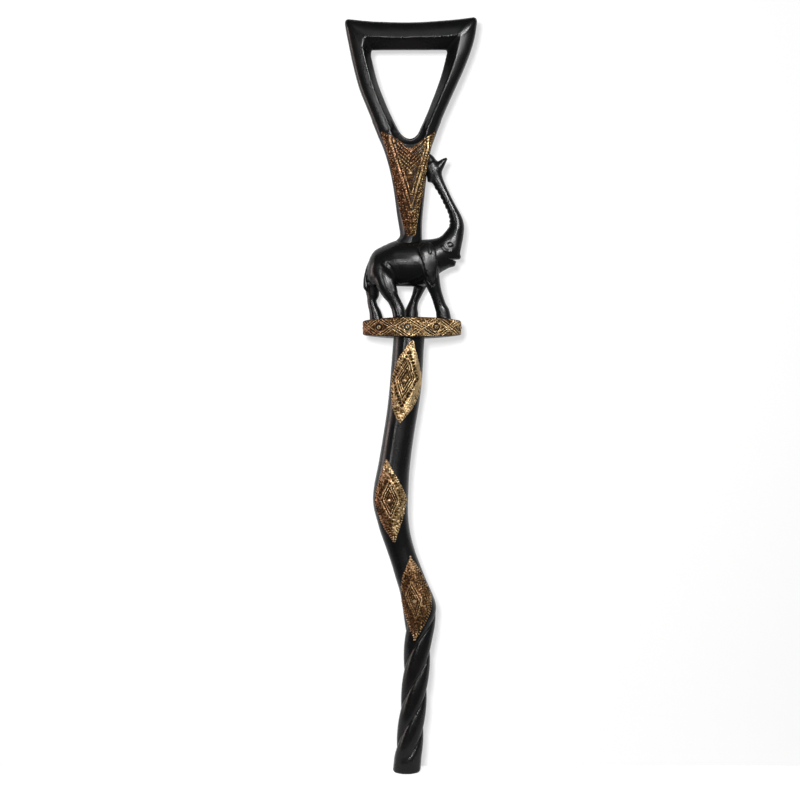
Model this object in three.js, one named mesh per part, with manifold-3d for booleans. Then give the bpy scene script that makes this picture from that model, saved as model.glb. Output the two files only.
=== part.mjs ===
// A carved walking stick, in millimetres, +Z up. The origin is the middle of the foot's flat end.
// The front, with the brass sheets, faces -Y. X runs to the right, the way the elephant looks.
// The wood is one carved piece; the brass sheets and their tacks are separate pieces on it.

import * as THREE from "three";
import Module from "manifold-3d";

const wasm = await Module();
wasm.setup();

// Heights, each measured from the one before it
const LOWER_KNEE = 200;
const UPPER_KNEE_ABOVE = 132;
const PLINTH_ABOVE = 194.5;
const PLINTH_THICKNESS = 24.5;
const ELEPHANT_HEIGHT = 94;
const HOLE_ABOVE_BACK = 124;
const HOLE_HEIGHT = 107;
const GRIP_BAR = 34;

// Grip loop
const GRIP_WIDTH = 160;
const GRIP_SHIFT = 5.5;
const GRIP_DEPTH = 30;
const GRIP_CORNER_RISE = 3.5;
const HOLE_WIDTH = 92;
const HOLE_SHIFT = 3;
const HOLE_FOOT_RADIUS = 13.4;

// Shafts
const UPPER_SHAFT_WIDTH = 27.7;
const UPPER_SHAFT_SHIFT = 5.65;
const UPPER_SHAFT_DEPTH = 27;
const SHAFT_INTO_GRIP = 20;
const ARMS_APART = 82.6;
const LOWER_SHAFT_WIDTH = 38;
const KNEE_WIDTH = 42;
const FOOT_WIDTH = 34;
const FOOT_EDGE = 3.5;

// Rope twist at the foot
const TWIST_STRANDS = 3;
const TWIST_PITCH = 140;
const TWIST_FROM = 22;
const TWIST_FADE = 14;
const TWIST_DEPTH = 2.8;
const TWIST_SIDES = 24;

// Plinth
const PLINTH_LENGTH = 120;
const PLINTH_DEPTH = 56;
const PLINTH_END_THICKNESS = 17.5;
const PLINTH_SHIFT = 6.7;
const PLINTH_SIDES = 48;

// Elephant
const ELEPHANT_LENGTH = 120;
const ELEPHANT_DEPTH = 48;
const TRUNK_RIBS = 9;
const TRUNK_RIB_HEIGHT = 0.9;

// Brass
const SHEET = 0.8;
const SEAT_GAP = 0.3;
const SEAT_LEFT = 0.2;
const SEAT_MARGIN = 0.03;
const BAND_INSET = 0.6;
const BAND_SEAM = 1.2;
const DIAMOND_LENGTH = 100;
const DIAMOND_BELOW_PLINTH = 3;
const STUD = { head: 2.3, rise: 1.5, shank: 0.7, length: 9 };
const PIN = { head: 1.3, rise: 0.8, shank: 0.5, length: 7 };
const SHANK_CLEARANCE = 0.3;
const HEAD_GAP = 0.2;
const BAND_STUDS = 8;

const upperKnee = LOWER_KNEE + UPPER_KNEE_ABOVE;
const plinthBottom = upperKnee + PLINTH_ABOVE;
const plinthTop = plinthBottom + PLINTH_THICKNESS;
const back = plinthTop + ELEPHANT_HEIGHT;
const holeBottom = back + HOLE_ABOVE_BACK;
const holeTop = holeBottom + HOLE_HEIGHT;
const gripTop = holeTop + GRIP_BAR;

// Small mathematics

const radians = THREE.MathUtils.degToRad;
const mix = THREE.MathUtils.lerp;
const ease = THREE.MathUtils.smoothstep;

function powered(value, power) {
  return Math.sign(value) * Math.abs(value) ** power;
}

// A smooth function of height through [height, value] points, lowest first
function profile(points) {
  const slopes = points.map((point, i) => {
    const before = points[Math.max(i - 1, 0)];
    const after = points[Math.min(i + 1, points.length - 1)];
    return (after[1] - before[1]) / (after[0] - before[0]);
  });
  return (height) => {
    let i = 0;
    while (i < points.length - 2 && height > points[i + 1][0]) i++;
    const [low, lowValue] = points[i];
    const [high, highValue] = points[i + 1];
    const span = high - low;
    const t = THREE.MathUtils.clamp((height - low) / span, 0, 1);
    const bend = (1 - t) ** 2 * t * slopes[i] - (1 - t) * t ** 2 * slopes[i + 1];
    return mix(lowValue, highValue, t * t * (3 - 2 * t)) + span * bend;
  };
}

function steps(from, to, count) {
  return Array.from({ length: count + 1 }, (_, i) => mix(from, to, i / count));
}

// Closed meshes and their joins

function meshFrom(positions, indices) {
  const geometry = new THREE.BufferGeometry();
  geometry.setAttribute("position", new THREE.Float32BufferAttribute(positions, 3));
  geometry.setIndex(indices);
  return facingOut(geometry);
}

function facingOut(geometry) {
  const point = geometry.attributes.position;
  const index = geometry.index.array;
  const [a, b, c] = [0, 1, 2].map(() => new THREE.Vector3());
  let volume = 0;
  for (let i = 0; i < index.length; i += 3) {
    a.fromBufferAttribute(point, index[i]);
    b.fromBufferAttribute(point, index[i + 1]);
    c.fromBufferAttribute(point, index[i + 2]);
    volume += a.dot(b.cross(c));
  }
  if (volume < 0) {
    for (let i = 0; i < index.length; i += 3) {
      [index[i], index[i + 1]] = [index[i + 1], index[i]];
    }
  }
  return geometry;
}

// A skin over rings of points. With closed set, the last ring joins the first and there are no ends.
function skin(rings, closed = false) {
  const sides = rings[0].length;
  const positions = rings.flat().flatMap((p) => [p.x, p.y, p.z]);
  const indices = [];
  const bands = closed ? rings.length : rings.length - 1;
  for (let i = 0; i < bands; i++) {
    const here = i * sides;
    const next = ((i + 1) % rings.length) * sides;
    for (let j = 0; j < sides; j++) {
      const k = (j + 1) % sides;
      indices.push(here + j, here + k, next + k, here + j, next + k, next + j);
    }
  }
  if (!closed) {
    [rings[0], rings.at(-1)].forEach((ring, end) => {
      const middle = positions.length / 3;
      const centre = ring.reduce((sum, p) => sum.add(p), new THREE.Vector3());
      centre.divideScalar(sides);
      positions.push(centre.x, centre.y, centre.z);
      const first = end * (rings.length - 1) * sides;
      for (let j = 0; j < sides; j++) {
        const k = (j + 1) % sides;
        indices.push(middle, first + (end ? j : k), first + (end ? k : j));
      }
    });
  }
  return meshFrom(positions, indices);
}

function solid(geometry) {
  const vertProperties = new Float32Array(geometry.attributes.position.array);
  const triVerts = new Uint32Array(geometry.index.array);
  return new wasm.Manifold(new wasm.Mesh({ numProp: 3, vertProperties, triVerts }));
}

function geometryOf(manifold) {
  const mesh = manifold.getMesh();
  return meshFrom([...mesh.vertProperties], [...mesh.triVerts]);
}

// An oval tube along stations of { at, across, deep }. across lies in the XZ plane, deep near Y.
// swell(t, turn) may thicken the tube at a part t of its way and at an angle round it. The sections
// stand square to the way, or all to one facing.
function limb(stations, sides, count, { swell = () => 0, facing = null } = {}) {
  const path = new THREE.CatmullRomCurve3(stations.map((s) => s.at));
  const size = new THREE.CatmullRomCurve3(stations.map((s) => new THREE.Vector3(s.across, s.deep, 0)));
  const rings = steps(0, 1, count).map((t) => {
    const centre = path.getPoint(t);
    const { x: across, y: deep } = size.getPoint(t);
    const along = facing ?? path.getTangent(t);
    const side = new THREE.Vector3(0, 1, 0).cross(along).normalize();
    const out = along.clone().cross(side).normalize();
    return steps(0, 2 * Math.PI, sides).slice(1).map((turn) => {
      const more = swell(t, turn);
      return centre
        .clone()
        .addScaledVector(side, (across + more) * Math.cos(turn))
        .addScaledVector(out, (deep + more) * Math.sin(turn));
    });
  });
  return skin(rings);
}

// Shafts. A shaft is { middle, wide, deep, round }, four functions of height. Its sections are ovals
// where round is 1, and grow flatter faces below 1. An angle on it is 0 at the front, growing to the right.

function onShaft(shaft, height, angle, lift = 0) {
  const round = shaft.round(height);
  return new THREE.Vector3(
    shaft.middle(height) + (shaft.wide(height) + lift) * powered(Math.sin(angle), round),
    -(shaft.deep(height) + lift) * powered(Math.cos(angle), round),
    height,
  );
}

function outFromShaft(shaft, height, angle) {
  const near = 0.5;
  const turned = near / shaft.wide(height);
  const up = onShaft(shaft, height + near, angle).sub(onShaft(shaft, height - near, angle));
  const round = onShaft(shaft, height, angle + turned).sub(onShaft(shaft, height, angle - turned));
  return round.cross(up).normalize();
}

// The angle at which a part of the half width lies
function angleAt(shaft, height, part) {
  return Math.asin(powered(part, 1 / shaft.round(height)));
}

const lowerMiddle = profile([
  [0, 0],
  [0.45 * LOWER_KNEE, 9],
  [0.75 * LOWER_KNEE, 13.5],
  [LOWER_KNEE, 15.8],
  [LOWER_KNEE + 0.3 * UPPER_KNEE_ABOVE, 3.4],
  [LOWER_KNEE + 0.53 * UPPER_KNEE_ABOVE, -7.2],
  [LOWER_KNEE + 0.75 * UPPER_KNEE_ABOVE, -15.5],
  [upperKnee, -19.4],
  [upperKnee + 0.25 * PLINTH_ABOVE, -13.8],
  [upperKnee + 0.65 * PLINTH_ABOVE, -2.2],
  [plinthBottom, 3],
]);

const lowerHalfWidth = profile([
  [0, FOOT_WIDTH / 2],
  [0.5 * LOWER_KNEE, FOOT_WIDTH / 2 - 0.8],
  [0.8 * LOWER_KNEE, FOOT_WIDTH / 2 + 0.2],
  [LOWER_KNEE, KNEE_WIDTH / 2 - 0.3],
  [LOWER_KNEE + 0.2 * UPPER_KNEE_ABOVE, FOOT_WIDTH / 2 + 1.9],
  [LOWER_KNEE + 0.5 * UPPER_KNEE_ABOVE, FOOT_WIDTH / 2 + 0.2],
  [LOWER_KNEE + 0.75 * UPPER_KNEE_ABOVE, FOOT_WIDTH / 2 + 2],
  [upperKnee, KNEE_WIDTH / 2 + 0.7],
  [upperKnee + 0.2 * PLINTH_ABOVE, LOWER_SHAFT_WIDTH / 2 + 0.8],
  [upperKnee + 0.45 * PLINTH_ABOVE, LOWER_SHAFT_WIDTH / 2],
  [upperKnee + 0.75 * PLINTH_ABOVE, LOWER_SHAFT_WIDTH / 2 + 0.7],
  [plinthBottom, LOWER_SHAFT_WIDTH / 2],
]);

const lowerShaft = {
  middle: lowerMiddle,
  wide: lowerHalfWidth,
  deep: (height) => 0.96 * lowerHalfWidth(height),
  round: () => 1,
};

// Both edges of the upper shaft, from the elephant's back up to the grip's arms
const upperLeft = profile([
  [back - 14, -24],
  [back - 1, -13.5],
  [back + 3.5, -9.2],
  [back + 8, UPPER_SHAFT_SHIFT - UPPER_SHAFT_WIDTH / 2],
  [back + 30, -11.6],
  [back + 0.59 * HOLE_ABOVE_BACK, -18.1],
  [back + 0.82 * HOLE_ABOVE_BACK, -25],
  [holeBottom + 7, -35.8],
  [holeBottom + SHAFT_INTO_GRIP, -ARMS_APART / 2],
]);

const upperRight = profile([
  [back - 14, UPPER_SHAFT_SHIFT + UPPER_SHAFT_WIDTH / 2],
  [back + 22, UPPER_SHAFT_SHIFT + UPPER_SHAFT_WIDTH / 2],
  [back + 0.41 * HOLE_ABOVE_BACK, 22],
  [back + 0.7 * HOLE_ABOVE_BACK, 25.6],
  [back + 0.9 * HOLE_ABOVE_BACK, 30.1],
  [holeBottom + 7, 36.3],
  [holeBottom + SHAFT_INTO_GRIP, ARMS_APART / 2],
]);

const upperShaft = {
  middle: (height) => (upperLeft(height) + upperRight(height)) / 2,
  wide: (height) => (upperRight(height) - upperLeft(height)) / 2,
  deep: profile([
    [back - 14, UPPER_SHAFT_DEPTH / 2],
    [back + 0.4 * HOLE_ABOVE_BACK, UPPER_SHAFT_DEPTH / 2 + 0.3],
    [holeBottom - 10, GRIP_DEPTH / 2 + 0.8],
    [holeBottom + 8, GRIP_DEPTH / 2 + 0.8],
    [holeBottom + SHAFT_INTO_GRIP, GRIP_DEPTH / 2 - 5],
  ]),
  round: profile([
    [back + 20, 1],
    [holeBottom - 14, 0.6],
    [holeBottom + SHAFT_INTO_GRIP, 0.5],
  ]),
};

function ring(shaft, height, sides, spin = 0, shrink = 0, groove = () => 0) {
  return steps(0, 2 * Math.PI, sides).slice(1).map((turn) => {
    return onShaft(shaft, height, turn + spin, -shrink - groove(turn));
  });
}

// Strands part at turn 0 and at each third of a turn from it; the vertices run up the shaft with them.
function makeLowerShaft() {
  const twistTo = LOWER_KNEE + TWIST_FADE / 2;
  const spinAt = (height) => {
    const twisted = Math.min(height, twistTo) - 0.555 * TWIST_PITCH;
    return radians(-90) + (2 * Math.PI * twisted) / TWIST_PITCH;
  };
  const strength = (height) =>
    ease(height, TWIST_FROM - TWIST_FADE / 2, TWIST_FROM + TWIST_FADE / 2) *
    (1 - ease(height, twistTo - 2 * TWIST_FADE, twistTo));
  const heights = [
    ...steps(0, 1, 2).map((t) => FOOT_EDGE * t),
    ...steps(FOOT_EDGE, twistTo, 29).slice(1),
    ...steps(twistTo, plinthBottom + PLINTH_THICKNESS / 2, 20).slice(1),
  ];
  const rings = heights.map((height) => {
    const inEdge = Math.max(0, 1 - height / FOOT_EDGE);
    const shrink = FOOT_EDGE * (1 - Math.sqrt(1 - inEdge ** 2));
    const groove = (turn) => {
      const bulge = Math.abs(Math.sin((TWIST_STRANDS / 2) * turn)) ** 0.7;
      return TWIST_DEPTH * strength(height) * (1 - bulge);
    };
    return ring(lowerShaft, height, TWIST_SIDES, spinAt(height), shrink, groove);
  });
  return skin(rings);
}

function makeUpperShaft() {
  const heights = [...steps(back - 14, back + 10, 5), ...steps(back + 10, holeBottom + SHAFT_INTO_GRIP, 9).slice(1)];
  return skin(heights.map((height) => ring(upperShaft, height, 24)));
}

// Grip loop: sections between an outer and an inner outline, swept all the way round the hand hole

const v2 = (x, z) => new THREE.Vector2(x, z);

function roundedCorner(before, corner, after) {
  return new THREE.QuadraticBezierCurve(before, corner, after);
}

function gripOutlines() {
  const left = GRIP_SHIFT - GRIP_WIDTH / 2;
  const right = GRIP_SHIFT + GRIP_WIDTH / 2;
  const holeLeft = HOLE_SHIFT - HOLE_WIDTH / 2;
  const holeRight = HOLE_SHIFT + HOLE_WIDTH / 2;
  const cornerLeft = gripTop + GRIP_CORNER_RISE - 1;
  const cornerRight = gripTop + GRIP_CORNER_RISE + 1.5;
  const middle = 5;
  const down = (part) => holeTop - part * HOLE_HEIGHT;
  const inFrom = (end, part) => end + Math.sign(middle - end) * part * GRIP_WIDTH;
  const outside = {
    top: new THREE.QuadraticBezierCurve(
      v2(left + 5, cornerLeft), v2(middle, gripTop - 2 * GRIP_CORNER_RISE + 1), v2(right - 5, cornerRight)),
    topRight: roundedCorner(v2(right - 5, cornerRight), v2(right + 0.5, cornerRight + 0.5), v2(right, cornerRight - 7)),
    right: new THREE.SplineCurve([
      v2(right, cornerRight - 7), v2(inFrom(right, 0.026), holeTop + 9), v2(inFrom(right, 0.108), down(0.25)),
      v2(inFrom(right, 0.232), down(0.66)), v2(upperRight(holeBottom), holeBottom)]),
    foot: new THREE.CubicBezierCurve(
      v2(upperRight(holeBottom), holeBottom), v2(25, holeBottom - 26),
      v2(-15, holeBottom - 26), v2(upperLeft(holeBottom), holeBottom)),
    left: new THREE.SplineCurve([
      v2(upperLeft(holeBottom), holeBottom), v2(inFrom(left, 0.166), down(0.66)), v2(inFrom(left, 0.108), down(0.44)),
      v2(inFrom(left, 0.064), down(0.2)), v2(inFrom(left, 0.019), holeTop + 12), v2(left, cornerLeft - 7)]),
    topLeft: roundedCorner(v2(left, cornerLeft - 7), v2(left - 1, cornerLeft + 0.5), v2(left + 5, cornerLeft)),
  };
  const footLeft = v2(HOLE_SHIFT - HOLE_FOOT_RADIUS, down(0.9));
  const footRight = v2(HOLE_SHIFT + HOLE_FOOT_RADIUS, down(0.9));
  const inside = {
    top: new THREE.LineCurve(v2(holeLeft + 2, holeTop), v2(holeRight - 3, holeTop)),
    topRight: roundedCorner(v2(holeRight - 3, holeTop), v2(holeRight + 0.5, holeTop), v2(holeRight, down(0.06))),
    right: new THREE.SplineCurve([
      v2(holeRight, down(0.06)), v2(holeRight - 8.3, down(0.33)), v2(holeRight - 20, down(0.63)), footRight]),
    foot: new THREE.CubicBezierCurve(
      footRight, v2(HOLE_SHIFT + 0.6 * HOLE_FOOT_RADIUS, down(1.04)),
      v2(HOLE_SHIFT - 0.4 * HOLE_FOOT_RADIUS, down(1.04)), footLeft),
    left: new THREE.SplineCurve([
      footLeft, v2(holeLeft + 20, down(0.66)), v2(holeLeft + 8.5, down(0.38)), v2(holeLeft, down(0.1))]),
    topLeft: roundedCorner(v2(holeLeft, down(0.1)), v2(holeLeft - 0.5, holeTop), v2(holeLeft + 2, holeTop)),
  };
  return { outside, inside };
}

function makeGrip() {
  const { outside, inside } = gripOutlines();
  const counts = { top: 6, topRight: 3, right: 8, foot: 6, left: 8, topLeft: 3 };
  const sides = 14;
  const squareness = 0.82;
  const crest = 0.25;
  const rings = Object.entries(counts).flatMap(([name, count]) => {
    return steps(0, 1, count).slice(1).map((t) => {
      const outer = outside[name].getPoint(t);
      const inner = inside[name].getPoint(t);
      return steps(0, 2 * Math.PI, sides).slice(1).map((turn) => {
        const across = powered(Math.cos(turn), squareness);
        const deep = powered(Math.sin(turn), squareness);
        const part = 0.5 + 0.5 * (across - crest * (1 - across ** 2));
        const flat = inner.clone().lerp(outer, part);
        return new THREE.Vector3(flat.x, (GRIP_DEPTH / 2) * deep, flat.y);
      });
    });
  });
  return skin(rings, true);
}

// The upper shaft reaches between the arms; this clears it from the hand hole, inside the loop's wood.
function makeHandHoleCutter() {
  const reach = 3;
  const { inside } = gripOutlines();
  const outline = ["right", "foot", "left"].flatMap((name) => inside[name].getPoints(8).slice(1));
  const centre = v2(5, holeBottom + HOLE_HEIGHT / 2);
  const rings = [-GRIP_DEPTH, GRIP_DEPTH].map((y) => {
    return outline.map((p) => {
      const grown = p.clone().sub(centre);
      grown.setLength(grown.length() + reach);
      return new THREE.Vector3(centre.x + grown.x, y, centre.y + grown.y);
    });
  });
  return skin(rings);
}

// Plinth. Its rim is an oval, thinner at the ends than in the middle.

const plinthMiddle = (plinthBottom + plinthTop) / 2;
const rimLong = PLINTH_LENGTH / 2 - SHEET - SEAT_GAP;
const rimDeep = PLINTH_DEPTH / 2 - SHEET - SEAT_GAP;

function onRim(angle, lift = 0) {
  const out = outFromRim(angle).multiplyScalar(lift);
  return new THREE.Vector3(
    PLINTH_SHIFT + rimLong * Math.cos(angle) + out.x,
    rimDeep * Math.sin(angle) + out.y,
    plinthMiddle,
  );
}

function outFromRim(angle) {
  return new THREE.Vector3(Math.cos(angle) / rimLong, Math.sin(angle) / rimDeep, 0).normalize();
}

function plinthHalf(part) {
  return mix(PLINTH_THICKNESS, PLINTH_END_THICKNESS, part ** 2) / 2;
}

function makePlinth() {
  const ringAt = (size, side) => {
    return steps(0, 2 * Math.PI, PLINTH_SIDES).slice(1).map((angle) => {
      return new THREE.Vector3(
        PLINTH_SHIFT + size * rimLong * Math.cos(angle),
        size * rimDeep * Math.sin(angle),
        plinthMiddle + side * plinthHalf(size * Math.cos(angle)),
      );
    });
  };
  return skin([ringAt(0.5, -1), ringAt(1, -1), ringAt(1, 1), ringAt(0.5, 1)]);
}

function bandSection(angle, low, high, inset = BAND_INSET) {
  const half = plinthHalf(Math.cos(angle)) - inset;
  const [inner, outer] = [onRim(angle, low), onRim(angle, high)];
  return [[inner, -half], [outer, -half], [outer, half], [inner, half]].map(([p, up]) => {
    return new THREE.Vector3(p.x, p.y, p.z + up);
  });
}

// The strip runs round the rim from a butt seam just behind the right end.
function makePlinthBand() {
  const seam = radians(12);
  const gap = BAND_SEAM / rimDeep / 2;
  const angles = steps(seam + gap, seam + 2 * Math.PI - gap, PLINTH_SIDES);
  return skin(angles.map((angle) => bandSection(angle, SEAT_GAP, SEAT_GAP + SHEET)));
}

// Clears wood, such as the edge of a foot, that stands out of the rim where the strip goes
function makeBandSeatCutter() {
  const angles = steps(0, 2 * Math.PI, PLINTH_SIDES).slice(1);
  const section = (angle) => bandSection(angle, SEAT_LEFT, PLINTH_DEPTH / 4, BAND_INSET - SEAT_GAP);
  return skin(angles.map(section), true);
}

// Elephant. Its points are shares of its length from the plinth's middle, of its depth from the
// middle plane and of its height above the plinth. Half sizes are shares of its height and depth.

function figure(points) {
  return points.map(([along, out, up, across, deep]) => ({
    at: new THREE.Vector3(
      PLINTH_SHIFT + (along / 100) * ELEPHANT_LENGTH,
      (out / 100) * ELEPHANT_DEPTH,
      plinthTop + (up / 100) * ELEPHANT_HEIGHT,
    ),
    across: (across / 100) * ELEPHANT_HEIGHT,
    deep: (deep / 100) * ELEPHANT_DEPTH,
  }));
}

// Upright sections of rump, barrel, neck and head: along, top, bottom, half depth
const TORSO = [
  [-45, 66, 47, 14],
  [-42, 79, 43, 29],
  [-37.5, 87, 41, 39],
  [-29, 93, 40, 46],
  [-17, 99.3, 40.5, 50],
  [-2, 100.5, 40.3, 50],
  [11, 101, 41, 46],
  [19, 101.7, 46, 38],
  [28.3, 104.7, 57.7, 32.5],
  [34, 110, 62, 29.5],
  [40, 111, 66, 25],
  [45, 106, 72, 19],
  [48.5, 98, 78, 11],
];
const NEAR_HIND_LEG = [
  [-31.4, -17, 64, 14, 19],
  [-29.3, -23, 54, 13, 20],
  [-26.5, -25, 43.4, 12.2, 20],
  [-22.3, -26, 31, 10, 18],
  [-18.6, -26, 22.7, 7.9, 16.5],
  [-15.5, -26, 14.9, 8, 16],
  [-13.4, -26, 7.2, 8.6, 16.5],
  [-12.4, -26, -4, 8.2, 17],
];
const FAR_HIND_LEG = [
  [-35.6, 17, 60, 12.8, 17],
  [-40.2, 23, 43.4, 9.6, 18],
  [-40, 25, 30.4, 8.3, 16.5],
  [-40.8, 25, 22.7, 6, 14.5],
  [-39.5, 25, 14.9, 6.3, 15],
  [-37.4, 25, 7.2, 7.7, 16],
  [-35.8, 25, -4, 9.4, 17],
];
const NEAR_FRONT_LEG = [
  [14.4, -19, 70, 12.8, 19],
  [19, -24, 52, 10.9, 19.5],
  [21.5, -24, 40.7, 9.1, 18.5],
  [24.3, -23, 30.4, 7.6, 16.5],
  [26.3, -22, 22.7, 7.4, 16],
  [28.3, -21, 14.9, 7.6, 16],
  [30.7, -21, 7.2, 8.7, 16.5],
  [32, -21, -4, 9.6, 16.5],
];
const FAR_FRONT_LEG = [
  [12.8, 17, 57.2, 11.7, 17],
  [8.6, 23, 43.4, 8.3, 18],
  [4.9, 25, 30.4, 6.2, 16],
  [2.4, 25, 22.7, 5.8, 14.5],
  [0.5, 25, 14.9, 6.9, 15],
  [-0.6, 25, 7.2, 9, 16],
  [-1.4, 25, -4, 10, 17],
];
const EAR = [
  [15.5, 33, 93, 7, 9],
  [15.3, 42, 84, 11.5, 8],
  [16, 46, 71, 12.2, 7],
  [18, 44, 57, 8.8, 6.5],
  [20.6, 39, 46, 4.4, 5.5],
  [22, 35, 39.5, 1, 2.5],
];
const TAIL = [
  [-37, 0, 79, 2.8, 5.5],
  [-42.5, 0, 70, 2.6, 5],
  [-46, 0, 59, 2.1, 4.6],
  [-47.3, 0, 48, 2.4, 5.4],
  [-46.6, 0, 40, 3.4, 7],
  [-45, 0, 33.5, 1.2, 3],
];
const UPPER_LIP = [
  [40, 0, 84, 7.5, 17],
  [45.8, 0, 79.5, 5, 12],
  [48.3, 0, 77.5, 2.2, 6],
];
const LOWER_LIP = [
  [33, 0, 75, 9, 17],
  [40, 0, 68.8, 4.8, 10.5],
  [43.6, 0, 68.6, 2, 5.5],
];
const TRUNK = [
  [39.5, 0, 82, 12, 20],
  [41, 0, 93, 14, 23],
  [42.5, 0, 105, 12.6, 21],
  [45, 0, 115.5, 10.1, 19.5],
  [45, 0, 123, 9, 18],
  [43.5, 0, 131, 7.7, 16.5],
  [41, 0, 139, 6.6, 15],
  [38, 0, 146.5, 6.3, 14.3],
  [35, 0, 154.3, 6.2, 13.8],
  [32, 0, 162, 6.4, 13.5],
  [28.6, 0, 170, 6.9, 13.7],
  [25.8, 0, 177.5, 7.4, 14],
  [23.5, 0, 185.3, 8, 14.5],
];
const EYE = { along: 38.3, up: 93.4, out: 25.5, radius: 1.8 };

function torsoStations() {
  return figure(TORSO.map(([along, top, bottom, deep]) => {
    return [along, 0, (top + bottom) / 2, (top - bottom) / 2, deep];
  }));
}

function mirrored(points) {
  return points.map(([along, out, up, across, deep]) => [along, -out, up, across, deep]);
}

// The raised trunk, ribbed on its inner side, runs into the shaft's right edge.
function makeTrunk() {
  const stations = figure(TRUNK);
  const meets = plinthTop + 2.06 * ELEPHANT_HEIGHT;
  stations.push({
    at: new THREE.Vector3(upperRight(meets) + 1, 0, meets - 8),
    across: 0.09 * ELEPHANT_HEIGHT,
    deep: 0.15 * ELEPHANT_DEPTH,
  });
  const ribsFrom = 0.25;
  const ribsTo = 0.8;
  const swell = (t, turn) => {
    if (t < ribsFrom || t > ribsTo) return 0;
    const rib = Math.abs(Math.sin((Math.PI * TRUNK_RIBS * (t - ribsFrom)) / (ribsTo - ribsFrom)));
    const inner = Math.max(0, -Math.cos(turn));
    return TRUNK_RIB_HEIGHT * (rib - 0.5) * inner ** 0.5;
  };
  return limb(stations, 10, 46, { swell });
}

function makeTrunkTip() {
  const meets = plinthTop + 2.06 * ELEPHANT_HEIGHT;
  const edge = upperRight(meets);
  const point = (right, up, across, deep) => ({
    at: new THREE.Vector3(edge + right, 0, meets + up), across, deep,
  });
  const finger = [point(9, -14, 6.5, 6), point(13.5, -8, 5.2, 5), point(18, -3, 3.2, 3.6), point(21.5, 0, 1.3, 1.8)];
  const lobe = [point(3, -29, 5, 5), point(4, -14, 8.5, 6.8), point(0, -2, 7, 6), point(-4, 6, 3, 4)];
  return [limb(finger, 12, 6), limb(lobe, 12, 5)];
}

function makeEye(side) {
  const [{ at }] = figure([[EYE.along, side * EYE.out, EYE.up, 0, 0]]);
  const rings = steps(radians(12), radians(168), 4).map((tilt) => {
    return steps(0, 2 * Math.PI, 8).slice(1).map((turn) => {
      const offset = new THREE.Vector3().setFromSphericalCoords(EYE.radius, tilt, turn);
      return at.clone().add(offset);
    });
  });
  return skin(rings);
}

function makeElephant() {
  return [
    limb(torsoStations(), 20, 18, { facing: new THREE.Vector3(1, 0, 0) }),
    limb(figure(NEAR_HIND_LEG), 10, 10),
    limb(figure(FAR_HIND_LEG), 10, 9),
    limb(figure(NEAR_FRONT_LEG), 10, 10),
    limb(figure(FAR_FRONT_LEG), 10, 9),
    limb(figure(EAR), 10, 8),
    limb(figure(mirrored(EAR)), 10, 8),
    limb(figure(TAIL), 8, 9),
    limb(figure(UPPER_LIP), 10, 5),
    limb(figure(LOWER_LIP), 10, 5),
    makeTrunk(),
    ...makeTrunkTip(),
    makeEye(1),
    makeEye(-1),
  ];
}

// Brass sheets: thin closed shells that follow the wood at the seat gap

// at(across, down, lift) gives a point of the sheet; across and down run from 0 to 1 over it. A margin
// adds a strip of that share all round.
function sheet({ at, columns, rows }, low, high, margin = 0) {
  const parts = (count) => {
    const inside = steps(0, 1, count);
    return margin ? [-margin, ...inside, 1 + margin] : inside;
  };
  const acrosses = parts(columns);
  const downs = parts(rows);
  const positions = [];
  for (const lift of [high, low]) {
    for (const down of downs) {
      for (const across of acrosses) {
        positions.push(...at(across, down, lift).toArray());
      }
    }
  }
  const stride = acrosses.length;
  const lastRow = downs.length - 1;
  const lastColumn = stride - 1;
  const layer = stride * downs.length;
  const indices = [];
  const face = (a, b, c, d) => indices.push(a, b, c, a, c, d);
  for (let row = 0; row < lastRow; row++) {
    for (let column = 0; column < lastColumn; column++) {
      const a = row * stride + column;
      const [b, c, d] = [a + 1, a + stride + 1, a + stride];
      face(a, d, c, b);
      face(layer + a, layer + b, layer + c, layer + d);
    }
  }
  const edge = [];
  for (let column = 0; column < lastColumn; column++) edge.push(column);
  for (let row = 0; row < lastRow; row++) edge.push(row * stride + lastColumn);
  for (let column = lastColumn; column > 0; column--) edge.push(lastRow * stride + column);
  for (let row = lastRow; row > 0; row--) edge.push(row * stride);
  edge.forEach((here, i) => {
    const next = edge[(i + 1) % edge.length];
    face(here, next, layer + next, layer + here);
  });
  return meshFrom(positions, indices);
}

// A diamond's tips are angles in degrees. Its side corners are [height from its middle, as a share of its
// length, angle, bulge of the edge above, bulge of the edge below]. Its tacks are [across, down].
const DIAMONDS = {
  top: {
    height: plinthBottom - DIAMOND_BELOW_PLINTH - DIAMOND_LENGTH / 2,
    top: 13, left: [-0.04, -63, 0.2, 0.18], right: [0.01, 70, -0.03, 0.2], bottom: -4,
    tack: [0.42, 0.49], upper: [0.5, 0.15], lower: [0.5, 0.86],
  },
  middle: {
    height: upperKnee - 2,
    top: -31, left: [0.01, -61, 0, 0.17], right: [0.02, 65, 0.02, 0.12], bottom: -14,
    tack: [0.45, 0.5], upper: [0.5, 0.13], lower: [0.5, 0.86],
  },
  bottom: {
    height: LOWER_KNEE + 11.3,
    top: 30, left: [-0.04, -80, 0.1, 0.08], right: [0.11, 68, 0.3, 0.05], bottom: -15,
    tack: [0.5, 0.52], upper: [0.5, -0.01], lower: [0.5, 0.86],
  },
};
const TIP_ANGLE = 2;

function diamondEdge(diamond, side) {
  const [level, angle, bulgeAbove, bulgeBelow] = side < 0 ? diamond.left : diamond.right;
  return (down) => {
    const corner = 0.5 - level;
    const above = down < corner;
    const part = above ? down / corner : (1 - down) / (1 - corner);
    const tip = (above ? diamond.top : diamond.bottom) + side * TIP_ANGLE;
    const bulge = (above ? bulgeAbove : bulgeBelow) * Math.sin(Math.PI * part);
    return radians(mix(tip, angle, part + bulge));
  };
}

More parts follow.
